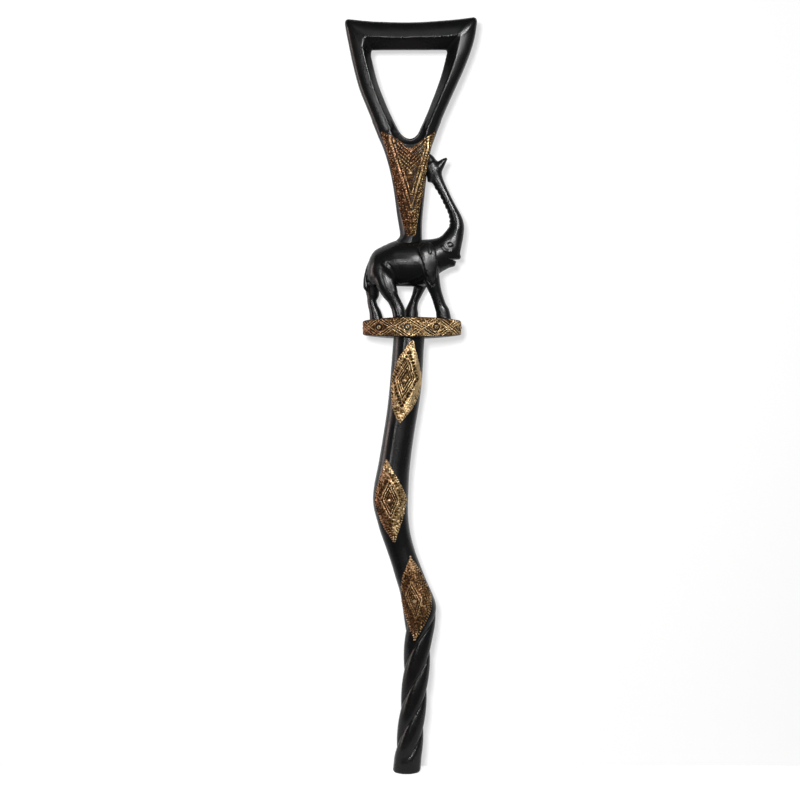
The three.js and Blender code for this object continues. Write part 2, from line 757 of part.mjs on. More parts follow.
function diamondSpot(diamond, across, down) {
  const [left, right] = [-1, 1].map((side) => diamondEdge(diamond, side)(down));
  return { height: diamond.height + (0.5 - down) * DIAMOND_LENGTH, angle: mix(left, right, across) };
}

function onDiamond(diamond, across, down, lift) {
  const { height, angle } = diamondSpot(diamond, across, down);
  return onShaft(lowerShaft, height, angle, lift);
}

// The V sheet lies between two edges, given as parts of the half width, and under a notched top.
const V_TOP = holeBottom + 7;
const V_NOTCH = 22;
const V_NOTCH_AT = 0.46;
const V_BOTTOM = back + 4;
const vLevels = [0, 0.12, 0.37, 0.66, 1].map((part) => mix(V_BOTTOM, V_TOP, part));
const vLeft = profile([-0.38, -0.61, -0.82, -0.9, -0.87].map((part, i) => [vLevels[i], part]));
const vRight = profile([0.36, 0.56, 0.83, 0.95, 0.97].map((part, i) => [vLevels[i], part]));

function vAngle(across, height) {
  const [left, right] = [vLeft, vRight].map((edge) => angleAt(upperShaft, height, edge(height)));
  return mix(left, right, across);
}

// The notch has straight sides: its depth grows evenly with the distance from either horn.
function vSpot(across, down) {
  const [horn, here, deepest] = [across < V_NOTCH_AT ? 0 : 1, across, V_NOTCH_AT].map((part) => {
    return onShaft(upperShaft, V_TOP, vAngle(part, V_TOP)).x;
  });
  const height = mix(V_TOP - (V_NOTCH * (here - horn)) / (deepest - horn), V_BOTTOM, down);
  return { height, angle: vAngle(across, height) };
}

function onV(across, down, lift) {
  const { height, angle } = vSpot(across, down);
  return onShaft(upperShaft, height, angle, lift);
}

const SHEETS = {
  v_plate: { at: onV, columns: 10, rows: 12 },
  diamond_plate_top: { at: onDiamond.bind(null, DIAMONDS.top), columns: 8, rows: 10 },
  diamond_plate_middle: { at: onDiamond.bind(null, DIAMONDS.middle), columns: 8, rows: 10 },
  diamond_plate_bottom: { at: onDiamond.bind(null, DIAMONDS.bottom), columns: 8, rows: 10 },
};

// Clears wood that stands higher than a sheet's seat, also a little way round the sheet
function makeSeatCutter(form) {
  return sheet(form, SEAT_LEFT, GRIP_DEPTH / 4, SEAT_MARGIN);
}

// Tacks. place is { at, out }: where the head sits on the sheet, and the way it faces.

function tackProfile(kind) {
  const dome = steps(0, 1, 2).map((t) => {
    return v2(kind.head * Math.sin((t * Math.PI) / 2), kind.rise * Math.cos((t * Math.PI) / 2));
  });
  dome[0].x = 0;
  return [...dome, v2(kind.shank, 0), v2(kind.shank, -kind.length + 2), v2(0, -kind.length)];
}

function makeTack(kind) {
  return new THREE.LatheGeometry(tackProfile(kind).reverse(), 8);
}

function makePilotHole(kind, place) {
  const radius = kind.shank + SHANK_CLEARANCE;
  const side = new THREE.Vector3(0, 0, 1).cross(place.out).normalize();
  const up = place.out.clone().cross(side);
  const rings = [-kind.length - 1, kind.rise].map((along) => {
    return steps(0, 2 * Math.PI, 8).slice(1).map((turn) => {
      return place.at
        .clone()
        .addScaledVector(place.out, along)
        .addScaledVector(side, radius * Math.cos(turn))
        .addScaledVector(up, radius * Math.sin(turn));
    });
  });
  return skin(rings);
}

const HEAD_LIFT = SEAT_GAP + SHEET + HEAD_GAP;

function placeOnShaft(shaft, { height, angle }) {
  const out = outFromShaft(shaft, height, angle);
  return { at: onShaft(shaft, height, angle).addScaledVector(out, HEAD_LIFT), out };
}

function bandPlaces() {
  const rim = new THREE.EllipseCurve(0, 0, rimLong, rimDeep, 0, 2 * Math.PI);
  const first = 0.73;
  return Array.from({ length: BAND_STUDS }, (_, i) => {
    const spot = rim.getPointAt((first + i / BAND_STUDS) % 1);
    const angle = Math.atan2(spot.y / rimDeep, spot.x / rimLong);
    return { at: onRim(angle, HEAD_LIFT), out: outFromRim(angle) };
  });
}

function tackList() {
  const list = [];
  bandPlaces().forEach((place, i) => {
    list.push({ name: `band_stud_${i + 1}`, kind: STUD, place, holds: "plinth_band" });
  });
  const onVSheet = (name, kind, across, down) => {
    list.push({ name, kind, place: placeOnShaft(upperShaft, vSpot(across, down)), holds: "v_plate" });
  };
  onVSheet("v_plate_tack", STUD, 0.49, 0.3);
  onVSheet("v_plate_pin_middle", PIN, 0.51, 0.38);
  onVSheet("v_plate_pin_left", PIN, 0.09, 0.03);
  onVSheet("v_plate_pin_right", PIN, 0.9, 0.035);
  onVSheet("v_plate_pin_foot", PIN, 0.5, 0.975);
  for (const [where, diamond] of Object.entries(DIAMONDS)) {
    const onIt = (name, kind, [across, down]) => {
      const place = placeOnShaft(lowerShaft, diamondSpot(diamond, across, down));
      list.push({ name, kind, place, holds: `diamond_plate_${where}` });
    };
    onIt(`diamond_tack_${where}`, STUD, diamond.tack);
    onIt(`diamond_pin_${where}_upper`, PIN, diamond.upper);
    onIt(`diamond_pin_${where}_lower`, PIN, diamond.lower);
  }
  return list;
}

// Assembly

const tacks = tackList();
const stick = new THREE.Group();

const BLACK = { color: 0x14120f, roughness: 0.32, metalness: 0 };
const BRASS = { color: 0xa8853f, roughness: 0.4, metalness: 1 };
const TACK_BRASS = { color: 0xcdb06a, roughness: 0.3, metalness: 1 };

function add(name, geometry, look) {
  geometry.computeVertexNormals();
  const mesh = new THREE.Mesh(geometry, new THREE.MeshStandardMaterial(look));
  mesh.name = name;
  stick.add(mesh);
  return mesh;
}

function cut(manifold, cutters) {
  return cutters.reduce((left, cutter) => left.subtract(solid(cutter)), manifold);
}

function pilotHoles(held) {
  return held.map((tack) => makePilotHole(tack.kind, tack.place));
}

const upper = cut(solid(makeUpperShaft()), [makeHandHoleCutter()]);
const wood = [makeGrip(), makePlinth(), makeLowerShaft(), ...makeElephant()]
  .map(solid)
  .reduce((whole, piece) => whole.add(piece), upper);
const seats = [makeBandSeatCutter(), ...Object.values(SHEETS).map(makeSeatCutter)];
add("carved_body", geometryOf(cut(wood, [...seats, ...pilotHoles(tacks)])), BLACK);

const brass = { plinth_band: makePlinthBand() };
for (const [name, form] of Object.entries(SHEETS)) {
  brass[name] = sheet(form, SEAT_GAP, SEAT_GAP + SHEET);
}
for (const [name, geometry] of Object.entries(brass)) {
  const held = tacks.filter((tack) => tack.holds === name);
  add(name, geometryOf(cut(solid(geometry), pilotHoles(held))), BRASS);
}

for (const { name, kind, place } of tacks) {
  const mesh = add(name, makeTack(kind), TACK_BRASS);
  mesh.position.copy(place.at);
  mesh.quaternion.setFromUnitVectors(new THREE.Vector3(0, 1, 0), place.out);
}

export default stick;
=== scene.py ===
"""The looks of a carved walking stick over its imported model. Sizes here are in millimetres."""

import math

import bpy
import numpy as np
import openvdb
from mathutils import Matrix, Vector


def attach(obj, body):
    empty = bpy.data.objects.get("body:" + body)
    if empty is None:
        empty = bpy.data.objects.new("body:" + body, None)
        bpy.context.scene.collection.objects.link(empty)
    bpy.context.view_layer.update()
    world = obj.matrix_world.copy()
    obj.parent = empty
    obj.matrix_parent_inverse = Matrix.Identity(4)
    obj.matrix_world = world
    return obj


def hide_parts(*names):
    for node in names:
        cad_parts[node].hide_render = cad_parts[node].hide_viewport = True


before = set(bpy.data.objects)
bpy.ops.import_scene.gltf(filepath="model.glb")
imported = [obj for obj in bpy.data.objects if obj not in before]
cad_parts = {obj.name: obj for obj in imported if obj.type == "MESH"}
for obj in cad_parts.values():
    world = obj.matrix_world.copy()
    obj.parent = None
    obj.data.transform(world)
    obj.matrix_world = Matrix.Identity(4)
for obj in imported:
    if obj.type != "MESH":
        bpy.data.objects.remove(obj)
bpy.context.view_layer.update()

MM = 0.001

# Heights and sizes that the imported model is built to
LOWER_KNEE = 200
UPPER_KNEE = 332
PLINTH_BOTTOM = 526.5
PLINTH_TOP = 551
BACK = 645
HOLE_BOTTOM = 769
HOLE_TOP = 876
GRIP_TOP = 910
HOLE_ABOVE_BACK = HOLE_BOTTOM - BACK
HOLE_HEIGHT = HOLE_TOP - HOLE_BOTTOM
GRIP_WIDTH = 160
GRIP_SHIFT = 5.5
GRIP_DEPTH = 30
CORNER_RISE = 3.5
HOLE_WIDTH = 92
HOLE_SHIFT = 3
HOLE_FOOT_RADIUS = 13.4
SHAFT_INTO_GRIP = 20
ARMS_APART = 82.6
GRIP_MIDDLE = 5
PLINTH_SHIFT = 6.7
PLINTH_MIDDLE = (PLINTH_BOTTOM + PLINTH_TOP) / 2
PLINTH_HALF = 12.25
PLINTH_END_HALF = 8.75
RIM_LONG = 58.9
RIM_DEEP = 26.9
ELEPHANT_LENGTH = 120
ELEPHANT_DEPTH = 48
ELEPHANT_HEIGHT = 94
TWIST_PITCH = 140
TWIST_DEPTH = 2.8
DIAMOND_LENGTH = 100
TACK_LIFT = 1.3

VOXEL = 0.6
REACH = 10
CARVED_WITHIN = 4
LIMB_SIDES = 48
TAU = 2 * math.pi
NO_TRIANGLES = np.zeros((0, 3), int)


# Curves and noise


def mix(a, b, t):
    return a + (b - a) * t


def ease(x, low, high):
    t = np.clip((x - low) / (high - low), 0, 1)
    return t * t * (3 - 2 * t)


def bump(x, centre, width):
    return np.exp(-(((x - centre) / width) ** 2))


def powered(value, power):
    return np.sign(value) * np.abs(value) ** power


def turns(count):
    """Angles at even steps round a circle."""
    return np.linspace(0, TAU, count, endpoint=False)


def profile(points):
    """A smooth function of height through (height, value) points, lowest first."""
    heights, values = np.array(points, float).T
    slopes = np.empty(len(heights))
    slopes[1:-1] = (values[2:] - values[:-2]) / (heights[2:] - heights[:-2])
    slopes[0] = (values[1] - values[0]) / (heights[1] - heights[0])
    slopes[-1] = (values[-1] - values[-2]) / (heights[-1] - heights[-2])

    def at(height):
        i = np.clip(np.searchsorted(heights, height) - 1, 0, len(heights) - 2)
        span = heights[i + 1] - heights[i]
        t = np.clip((height - heights[i]) / span, 0, 1)
        bend = (1 - t) ** 2 * t * slopes[i] - (1 - t) * t**2 * slopes[i + 1]
        return mix(values[i], values[i + 1], t * t * (3 - 2 * t)) + span * bend

    return at


def noise(points, size, seed=0):
    """A smooth value from about -1 to 1 at each point, with lumps of about that size."""
    rng = np.random.default_rng(seed)
    total = np.zeros(points.shape[:-1])
    for _ in range(7):
        way = rng.normal(size=3)
        way *= TAU / (2 * size * rng.uniform(0.7, 1.6)) / np.linalg.norm(way)
        total += np.sin(points @ way + rng.uniform(0, TAU))
    return total / 3.2


def scatter(cells, seed=0):
    """A value from 0 to 1 for each cell's number, the same each time."""
    value = np.sin(cells * 12.9898 + seed * 78.233) * 43758.5453
    return value - np.floor(value)


def bezier(points, t):
    points = [np.array(p, float) for p in points]
    t = np.asarray(t)[:, None]
    while len(points) > 1:
        points = [mix(a, b, t) for a, b in zip(points, points[1:])]
    return points[0]


def spans(count, t):
    """The span that each t from 0 to 1 falls in, and how far into it."""
    at = np.clip(np.asarray(t) * count, 0, count)
    i = np.minimum(at.astype(int), count - 1)
    return i, (at - i)[:, None]


def spline(points, t):
    """An even Catmull-Rom curve through the points."""
    p = np.array(points, float)
    last = len(p) - 1
    i, w = spans(last, t)
    before, here, after, beyond = (p[np.clip(i + k, 0, last)] for k in (-1, 0, 1, 2))
    v0, v1 = (after - before) / 2, (beyond - here) / 2
    cubic = (2 * here - 2 * after + v0 + v1) * w**3
    return cubic + (3 * after - 3 * here - 2 * v0 - v1) * w**2 + v0 * w + here


def chordal(points, t):
    """A centripetal Catmull-Rom curve through the points."""
    p = np.array(points, float)
    i, w = spans(len(p) - 1, t)
    p = np.vstack([2 * p[0] - p[1], p, 2 * p[-1] - p[-2]])
    x0, x1, x2, x3 = (p[i + k] for k in range(4))
    d0, d1, d2 = (np.maximum(np.linalg.norm(b - a, axis=1) ** 0.5, 1e-3)[:, None]
                  for a, b in ((x0, x1), (x1, x2), (x2, x3)))
    t1 = ((x1 - x0) / d0 - (x2 - x0) / (d0 + d1) + (x2 - x1) / d1) * d1
    t2 = ((x2 - x1) / d1 - (x3 - x1) / (d1 + d2) + (x3 - x2) / d2) * d1
    return x1 + t1 * w + (3 * x2 - 3 * x1 - 2 * t1 - t2) * w**2 + (2 * x1 - 2 * x2 + t1 + t2) * w**3


# Meshes


def grid_quads(rows, columns, closed_rows, closed_columns):
    """Quads over a grid of points that are numbered row by row."""
    r = np.arange(rows if closed_rows else rows - 1)
    c = np.arange(columns if closed_columns else columns - 1)
    r, c = np.meshgrid(r, c, indexing="ij")
    r2, c2 = (r + 1) % rows, (c + 1) % columns
    quads = [r * columns + c, r * columns + c2, r2 * columns + c2, r2 * columns + c]
    return np.stack(quads, -1).reshape(-1, 4)


def skin(rings, closed=False):
    """Points, quads and triangles of the skin over rings of points, with fans at its ends."""
    count, sides, _ = rings.shape
    points = rings.reshape(-1, 3)
    quads = grid_quads(count, sides, closed, True)
    triangles = NO_TRIANGLES
    if not closed:
        points = np.vstack([points, rings[0].mean(0), rings[-1].mean(0)])
        j = np.arange(sides)
        k = (j + 1) % sides
        first = np.stack([np.full(sides, len(points) - 2), k, j], -1)
        end = (count - 1) * sides
        last = np.stack([np.full(sides, len(points) - 1), end + j, end + k], -1)
        triangles = np.vstack([first, last])
    return points, quads, triangles


def make_piece(name, points, quads, triangles=NO_TRIANGLES, attributes=None):
    """A smooth-shaded object with outward faces, from points in millimetres."""
    faces = [np.asarray(f, int) for f in (quads, triangles) if len(f)]
    mesh = bpy.data.meshes.new(name)
    loops = np.concatenate([f.ravel() for f in faces])
    totals = np.concatenate([np.full(len(f), f.shape[1]) for f in faces])
    mesh.vertices.add(len(points))
    mesh.vertices.foreach_set("co", (np.asarray(points) * MM).astype(np.float32).ravel())
    mesh.loops.add(len(loops))
    mesh.loops.foreach_set("vertex_index", loops.astype(np.int32))
    mesh.polygons.add(len(totals))
    starts = np.concatenate([[0], np.cumsum(totals)[:-1]])
    mesh.polygons.foreach_set("loop_start", starts.astype(np.int32))
    mesh.polygons.foreach_set("use_smooth", np.ones(len(totals), bool))
    for key, values in (attributes or {}).items():
        layer = mesh.attributes.new(key, "FLOAT", "POINT")
        layer.data.foreach_set("value", np.asarray(values, np.float32))
    mesh.update(calc_edges=True)
    mesh.validate()
    piece = bpy.data.objects.new(name, mesh)
    bpy.context.scene.collection.objects.link(piece)
    return piece


def facing_out(points, quads, triangles=NO_TRIANGLES):
    """The same faces, all turned round where they enclose a negative volume."""
    corners = np.vstack([quads[:, :3], quads[:, [0, 2, 3]], triangles])
    a, b, c = (points[corners[:, k]] for k in range(3))
    if np.einsum("ij,ij->i", a, np.cross(b, c)).sum() < 0:
        return points, quads[:, ::-1], triangles[:, ::-1]
    return points, quads, triangles


def smoothed(points, quads, rounds):
    """Evens out the points without shrinking the form: pairs of steps in and out."""
    a, b = quads.T.ravel(), np.roll(quads, -1, 1).T.ravel()
    here, there = np.concatenate([a, b]), np.concatenate([b, a])
    count = np.bincount(here, minlength=len(points)).astype(float)[:, None]
    points = points.copy()
    for step in [0.5, -0.52] * rounds:
        sums = [np.bincount(here, points[there, k], len(points)) for k in range(3)]
        points += step * (np.stack(sums, -1) / count - points)
    return points


# Volumes: signed distances in millimetres on a grid, negative inside


class Volume:
    """A box of voxels. Solids are added to it with soft joins, and it gives back a skin."""

    def __init__(self, low, high):
        self.low = np.floor(np.array(low) / VOXEL).astype(int)
        self.shape = tuple(np.ceil(np.array(high) / VOXEL).astype(int) - self.low)
        self.corner = tuple(int(k) for k in self.low)
        self.transform = openvdb.createLinearTransform(voxelSize=VOXEL)
        self.field = np.full(self.shape, REACH * VOXEL, np.float32)

    def distance(self, rings, closed=False):
        points, quads, triangles = skin(rings, closed)
        grid = openvdb.FloatGrid.createLevelSetFromPolygons(
            points.astype(np.float32),
            triangles=triangles.astype(np.uint32),
            quads=quads.astype(np.uint32),
            transform=self.transform,
            halfWidth=REACH,
        )
        array = np.empty(self.shape, np.float32)
        grid.copyToArray(array, ijk=self.corner)
        return array

    def join(self, rings, soft):
        other = self.distance(rings)
        near = np.maximum(soft - np.abs(self.field - other), 0) / soft
        self.field = np.minimum(self.field, other) - near**2 * (soft / 4)

    def near_skin(self):
        """Indices and points of the voxels next to the skin, where fine carving is applied."""
        at = np.nonzero(np.abs(self.field) < CARVED_WITHIN)
        points = np.stack([(self.low[k] + at[k]) * VOXEL for k in range(3)], -1)
        return at, points

    def cut(self, rings):
        self.field = np.maximum(self.field, -self.distance(rings))

    def front(self):
        """A function of (x, z) that gives how far forward the solid reaches there, or 0 past it."""
        inside = self.field < 0
        first = inside.argmax(1)
        i, k = np.meshgrid(np.arange(self.shape[0]), np.arange(self.shape[2]), indexing="ij")
        here, before = self.field[i, first, k], self.field[i, np.maximum(first - 1, 0), k]
        place = (self.low[1] + first - here / np.minimum(here - before, -1e-6)) * VOXEL
        place = np.where(inside.any(1), place, 0.0)

        def at(x, z):
            u = np.clip(x / VOXEL - self.low[0], 0, self.shape[0] - 1.001)
            v = np.clip(z / VOXEL - self.low[2], 0, self.shape[2] - 1.001)
            a, b = u.astype(int), v.astype(int)
            low = mix(place[a, b], place[a + 1, b], u - a)
            high = mix(place[a, b + 1], place[a + 1, b + 1], u - a)
            return mix(low, high, v - b)

        return at

    def skin(self, rounds):
        grid = openvdb.FloatGrid(REACH * VOXEL)
        grid.copyFromArray(self.field, ijk=self.corner)
        grid.transform = self.transform
        points, quads = grid.convertToQuads(0)
        points, quads, _ = facing_out(np.array(points, float), np.array(quads, int))
        return smoothed(points, quads, rounds), quads


def limb(stations, swell=None, facing=None, count=90):
    """Rings of an oval tube along stations of (x, y, z, across, deep)."""
    t = np.linspace(0, 1, count)
    stations = np.array(stations, float)
    centre, size = chordal(stations[:, :3], t), chordal(stations[:, 3:], t)
    if facing is None:
        ahead, behind = (chordal(stations[:, :3], np.clip(t + step, 0, 1)) for step in (1e-4, -1e-4))
        along = ahead - behind
    else:
        along = np.tile(np.array(facing, float), (count, 1))
    side = np.cross([0, 1, 0], along)
    side /= np.linalg.norm(side, axis=1, keepdims=True)
    out = np.cross(along, side)
    out /= np.linalg.norm(out, axis=1, keepdims=True)
    turn = turns(LIMB_SIDES)
    more = swell(t[:, None], turn[None, :]) if swell else 0
    across = (size[:, :1] + more) * np.cos(turn)
    deep = (size[:, 1:] + more) * np.sin(turn)
    return centre[:, None] + across[..., None] * side[:, None] + deep[..., None] * out[:, None]


# Shafts


class Shaft:
    """Sections given by functions of height: ovals where power is 1, flatter below 1."""

    def __init__(self, middle, wide, deep, power):
        self.middle, self.wide, self.deep, self.power = middle, wide, deep, power

    def at(self, height, angle, lift=0):
        """The point at an angle that is 0 at the front and grows to the right."""
        power = self.power(height)
        x = self.middle(height) + (self.wide(height) + lift) * powered(np.sin(angle), power)
        y = -(self.deep(height) + lift) * powered(np.cos(angle), power)
        return np.stack(np.broadcast_arrays(x, y, height), -1)

    def out(self, height, angle):
        near = 0.5
        turned = near / self.wide(height)
        up = self.at(height + near, angle) - self.at(height - near, angle)
        across = self.at(height, angle + turned) - self.at(height, angle - turned)
        normal = np.cross(across, up)
        return normal / np.linalg.norm(normal, axis=-1, keepdims=True)

    def angle_at(self, height, part):
        return np.arcsin(np.clip(powered(part, 1 / self.power(height)), -1, 1))


lower_middle = profile([
    (0, 0), (90, 9), (150, 13.5), (LOWER_KNEE, 15.8), (239.6, 3.4), (269.96, -7.2), (299, -15.5),
    (UPPER_KNEE, -19.4), (380.625, -13.8), (458.425, -2.2), (PLINTH_BOTTOM, 3),
])
lower_wide = profile([
    (0, 17), (100, 16.2), (160, 17.2), (LOWER_KNEE, 20.7), (226.4, 18.9), (266, 17.2), (299, 19),
    (UPPER_KNEE, 21.7), (370.9, 19.8), (419.525, 19), (477.875, 19.7), (PLINTH_BOTTOM, 19),
])
lower_shaft = Shaft(lower_middle, lower_wide, lambda h: 0.96 * lower_wide(h), lambda h: 1 + 0 * h)

upper_left = profile([
    (BACK - 14, -24), (BACK - 1, -13.5), (BACK + 3.5, -9.2), (BACK + 8, -8.2), (BACK + 30, -11.6),
    (BACK + 0.59 * HOLE_ABOVE_BACK, -18.1), (BACK + 0.82 * HOLE_ABOVE_BACK, -25),
    (HOLE_BOTTOM + 7, -35.8), (HOLE_BOTTOM + SHAFT_INTO_GRIP, -ARMS_APART / 2),
])
upper_right = profile([
    (BACK - 14, 19.5), (BACK + 22, 19.5), (BACK + 0.41 * HOLE_ABOVE_BACK, 22),
    (BACK + 0.7 * HOLE_ABOVE_BACK, 25.6), (BACK + 0.9 * HOLE_ABOVE_BACK, 30.1),
    (HOLE_BOTTOM + 7, 36.3), (HOLE_BOTTOM + SHAFT_INTO_GRIP, ARMS_APART / 2),
])
upper_shaft = Shaft(
    lambda h: (upper_left(h) + upper_right(h)) / 2,
    lambda h: (upper_right(h) - upper_left(h)) / 2,
    profile([
        (BACK - 14, 13.5), (BACK + 0.4 * HOLE_ABOVE_BACK, 13.8), (HOLE_BOTTOM - 24, 15),
        (HOLE_BOTTOM - 4, 13.8), (HOLE_BOTTOM + SHAFT_INTO_GRIP, 7),
    ]),
    profile([(BACK + 20, 1), (HOLE_BOTTOM - 14, 0.6), (HOLE_BOTTOM + 20, 0.5)]),
)


def facets(angle, count, first):
    """How far a carved shaft's flats lie inside its oval, from 0 on an edge to 1 in a flat."""
    part = ((angle - first) * count / TAU) % 1
    return 1 - (2 * part - 1) ** 2


FOOT_EDGE = 3.5
TWIST_TOP = LOWER_KNEE + 7
TWIST_TURNED = 0.555
LOWER_FLATS = 9
UPPER_FLATS = 8


def make_lower_shaft():
    sides, rows = 112, 760
    heights = np.linspace(0, PLINTH_BOTTOM + 4, rows)[:, None]
    spin = TAU * (np.minimum(heights, TWIST_TOP) / TWIST_PITCH - TWIST_TURNED) - math.pi / 2
    turn = turns(sides)[None, :]
    angle = turn + spin
    strength = ease(heights, 12, 30) * (1 - ease(heights, TWIST_TOP - 26, TWIST_TOP + 2))
    strand = np.abs(np.sin(1.5 * turn))
    groove = TWIST_DEPTH * 1.25 * strength * (1 - strand**0.5)
    flats = 0.32 * facets(angle, LOWER_FLATS, 0.35) * (1 - strength)
    in_edge = np.clip(1 - heights / FOOT_EDGE, 0, 1)
    edge = FOOT_EDGE * (1 - np.sqrt(np.maximum(1 - in_edge**2, 0)))
    raw = lower_shaft.at(heights, angle, -edge)
    tool = 0.03 * noise(raw * [1, 1, 0.35], 5, 3) + 0.12 * noise(raw * [1, 1, 0.6], 16, 4)
    rings = lower_shaft.at(heights, angle, -edge - groove - flats + tool - 0.1)
    points, quads, triangles = facing_out(*skin(rings))
    # Browner on the crests of the twisted strands.
    strand_crest_brown = np.concatenate([(strand**8 * strength).ravel() * 0.1, [0, 0]])
    return make_piece("wood_lower_shaft", points, quads, triangles, {"strand_crest_brown": strand_crest_brown})


# Grip


def grip_outlines():
    """Outer and inner points round the hand hole, in step with each other, as (x, z)."""
    left, right = GRIP_SHIFT - GRIP_WIDTH / 2, GRIP_SHIFT + GRIP_WIDTH / 2
    hole_left, hole_right = HOLE_SHIFT - HOLE_WIDTH / 2, HOLE_SHIFT + HOLE_WIDTH / 2
    corner_left, corner_right = GRIP_TOP + CORNER_RISE - 1, GRIP_TOP + CORNER_RISE + 1.5

    def down(part):
        return HOLE_TOP - part * HOLE_HEIGHT

    def in_from(end, part):
        return end + math.copysign(part * GRIP_WIDTH, GRIP_MIDDLE - end)

    # Each stretch has a number of steps, and the points that its curve goes through or bends towards on
    # the outer and on the inner outline. It starts where the stretch before it ended.
    stretches = {
        "top": (100, [(GRIP_MIDDLE, GRIP_TOP - 2 * CORNER_RISE + 1), (right - 5, corner_right)],
                [(hole_right - 2, HOLE_TOP)]),
        "top_right": (30, [(right + 0.5, corner_right + 0.5), (right, corner_right - 7)],
                      [(hole_right + 0.5, HOLE_TOP), (hole_right, down(0.04))]),
        "right": (100, [(in_from(right, 0.026), HOLE_TOP + 9), (in_from(right, 0.108), down(0.25)),
                       (in_from(right, 0.232), down(0.66)), (upper_right(HOLE_BOTTOM), HOLE_BOTTOM)],
                  [(hole_right - 8.3, down(0.33)), (hole_right - 20, down(0.63)),
                   (HOLE_SHIFT + HOLE_FOOT_RADIUS, down(0.9))]),
        "foot": (60, [(25, HOLE_BOTTOM - 26), (-15, HOLE_BOTTOM - 26),
                     (upper_left(HOLE_BOTTOM), HOLE_BOTTOM)],
                 [(HOLE_SHIFT + 0.6 * HOLE_FOOT_RADIUS, down(1.04)),
                  (HOLE_SHIFT - 0.4 * HOLE_FOOT_RADIUS, down(1.04)),
                  (HOLE_SHIFT - HOLE_FOOT_RADIUS, down(0.9))]),
        "left": (100, [(in_from(left, 0.166), down(0.66)), (in_from(left, 0.108), down(0.44)),
                      (in_from(left, 0.064), down(0.2)), (in_from(left, 0.019), HOLE_TOP + 12),
                      (left, corner_left - 7)],
                 [(hole_left + 20, down(0.66)), (hole_left + 8.5, down(0.38)), (hole_left, down(0.08))]),
        "top_left": (30, [(left - 1, corner_left + 0.5), (left + 5, corner_left)],
                     [(hole_left - 0.5, HOLE_TOP), (hole_left + 2, HOLE_TOP)]),
    }
    outlines, names = ([], []), []
    starts = [points[-1] for points in stretches["top_left"][1:]]
    for name, (count, *both) in stretches.items():
        steps = np.linspace(0, 1, count + 1)[1:]
        curve = spline if name in ("right", "left") else bezier
        for side, points in enumerate(both):
            outlines[side].append(curve([starts[side], *points], steps))
            starts[side] = points[-1]
        names += [name] * count
    return np.vstack(outlines[0]), np.vstack(outlines[1]), names


def evened(values, rounds):
    for _ in range(rounds):
        values = (np.roll(values, 1) + 2 * values + np.roll(values, -1)) / 4
    return values


def grip_rings():
    """Sections of the loop. A ridge, nearer the hole, parts the front from a sloping inner wall."""
    outer, inner, names = grip_outlines()
    ridge_at = {
        "top": 0.38, "top_right": 0.44, "right": 0.42, "foot": 0.5, "left": 0.36, "top_left": 0.3,
    }
    ridge = evened(np.array([ridge_at[name] for name in names]), 12)[:, None]
    turn = turns(60)[None, :]
    across = powered(np.cos(turn), 0.85)
    part = 0.5 + 0.5 * across
    wall = 0.34 + 0.72 * part / ridge
    front = 1.0 - 0.26 * np.maximum((part - ridge) / (1 - ridge), -0.3)
    soft = 0.03
    half = -np.log(np.exp(-wall / soft) + np.exp(-front / soft)) * soft
    deep = powered(np.sin(turn), 0.5) * half
    flat = inner[:, None] + (outer - inner)[:, None] * part[..., None]
    return np.stack([flat[..., 0], GRIP_DEPTH / 2 * deep, flat[..., 1]], -1)


def make_handle():
    box = Volume((-78, -21, BACK - 16), (89, 21, GRIP_TOP + 8))
    loop = box.distance(grip_rings(), True)
    heights = np.linspace(BACK - 14, HOLE_BOTTOM + 20, 200)[:, None]
    angle = turns(96)[None, :]
    fading = 1 - ease(heights, HOLE_BOTTOM - 50, HOLE_BOTTOM - 10)
    flats = 0.5 * facets(angle, UPPER_FLATS, 0.2) * fading
    shaft = box.distance(upper_shaft.at(heights, angle, -flats))
    _, inner, names = grip_outlines()
    low = [k for k, name in enumerate(names) if name in ("right", "foot", "left")]
    centre = np.array([GRIP_MIDDLE, HOLE_BOTTOM + HOLE_HEIGHT / 2])
    way = inner[low] - centre
    grown = centre + way * (1 + 3 / np.linalg.norm(way, axis=1, keepdims=True))
    hole = np.stack([np.stack([grown[:, 0], np.full(len(low), y), grown[:, 1]], -1) for y in (-30, 30)])
    cleared = np.maximum(shaft, -box.distance(hole))
    near = np.maximum(3 - np.abs(loop - cleared), 0) / 3
    box.field = np.minimum(loop, cleared) - 0.5 * near**2
    at, places = box.near_skin()
    box.field[at] += 0.04 * noise(places, 9, 11) + 0.12 * noise(places, 24, 12)
    x, y, z = places.T
    under_hole = ease(z, HOLE_BOTTOM - 16, HOLE_BOTTOM - 2) * bump(x, GRIP_MIDDLE, 12)
    box.field[at] += 1.6 * under_hole * (z < HOLE_BOTTOM + 6) * (y < 0)
    points, quads = box.skin(2)
    return make_piece("wood_handle", points, quads), box.front()


# Elephant


def figure(stations):
    """Stations given as shares of the elephant's length, depth and height, in millimetres."""
    a = np.array(stations, float) / 100
    return np.stack([
        PLINTH_SHIFT + a[:, 0] * ELEPHANT_LENGTH,
        a[:, 1] * ELEPHANT_DEPTH,
        PLINTH_TOP + a[:, 2] * ELEPHANT_HEIGHT,
        a[:, 3] * ELEPHANT_HEIGHT,
        a[:, 4] * ELEPHANT_DEPTH,
    ], -1)


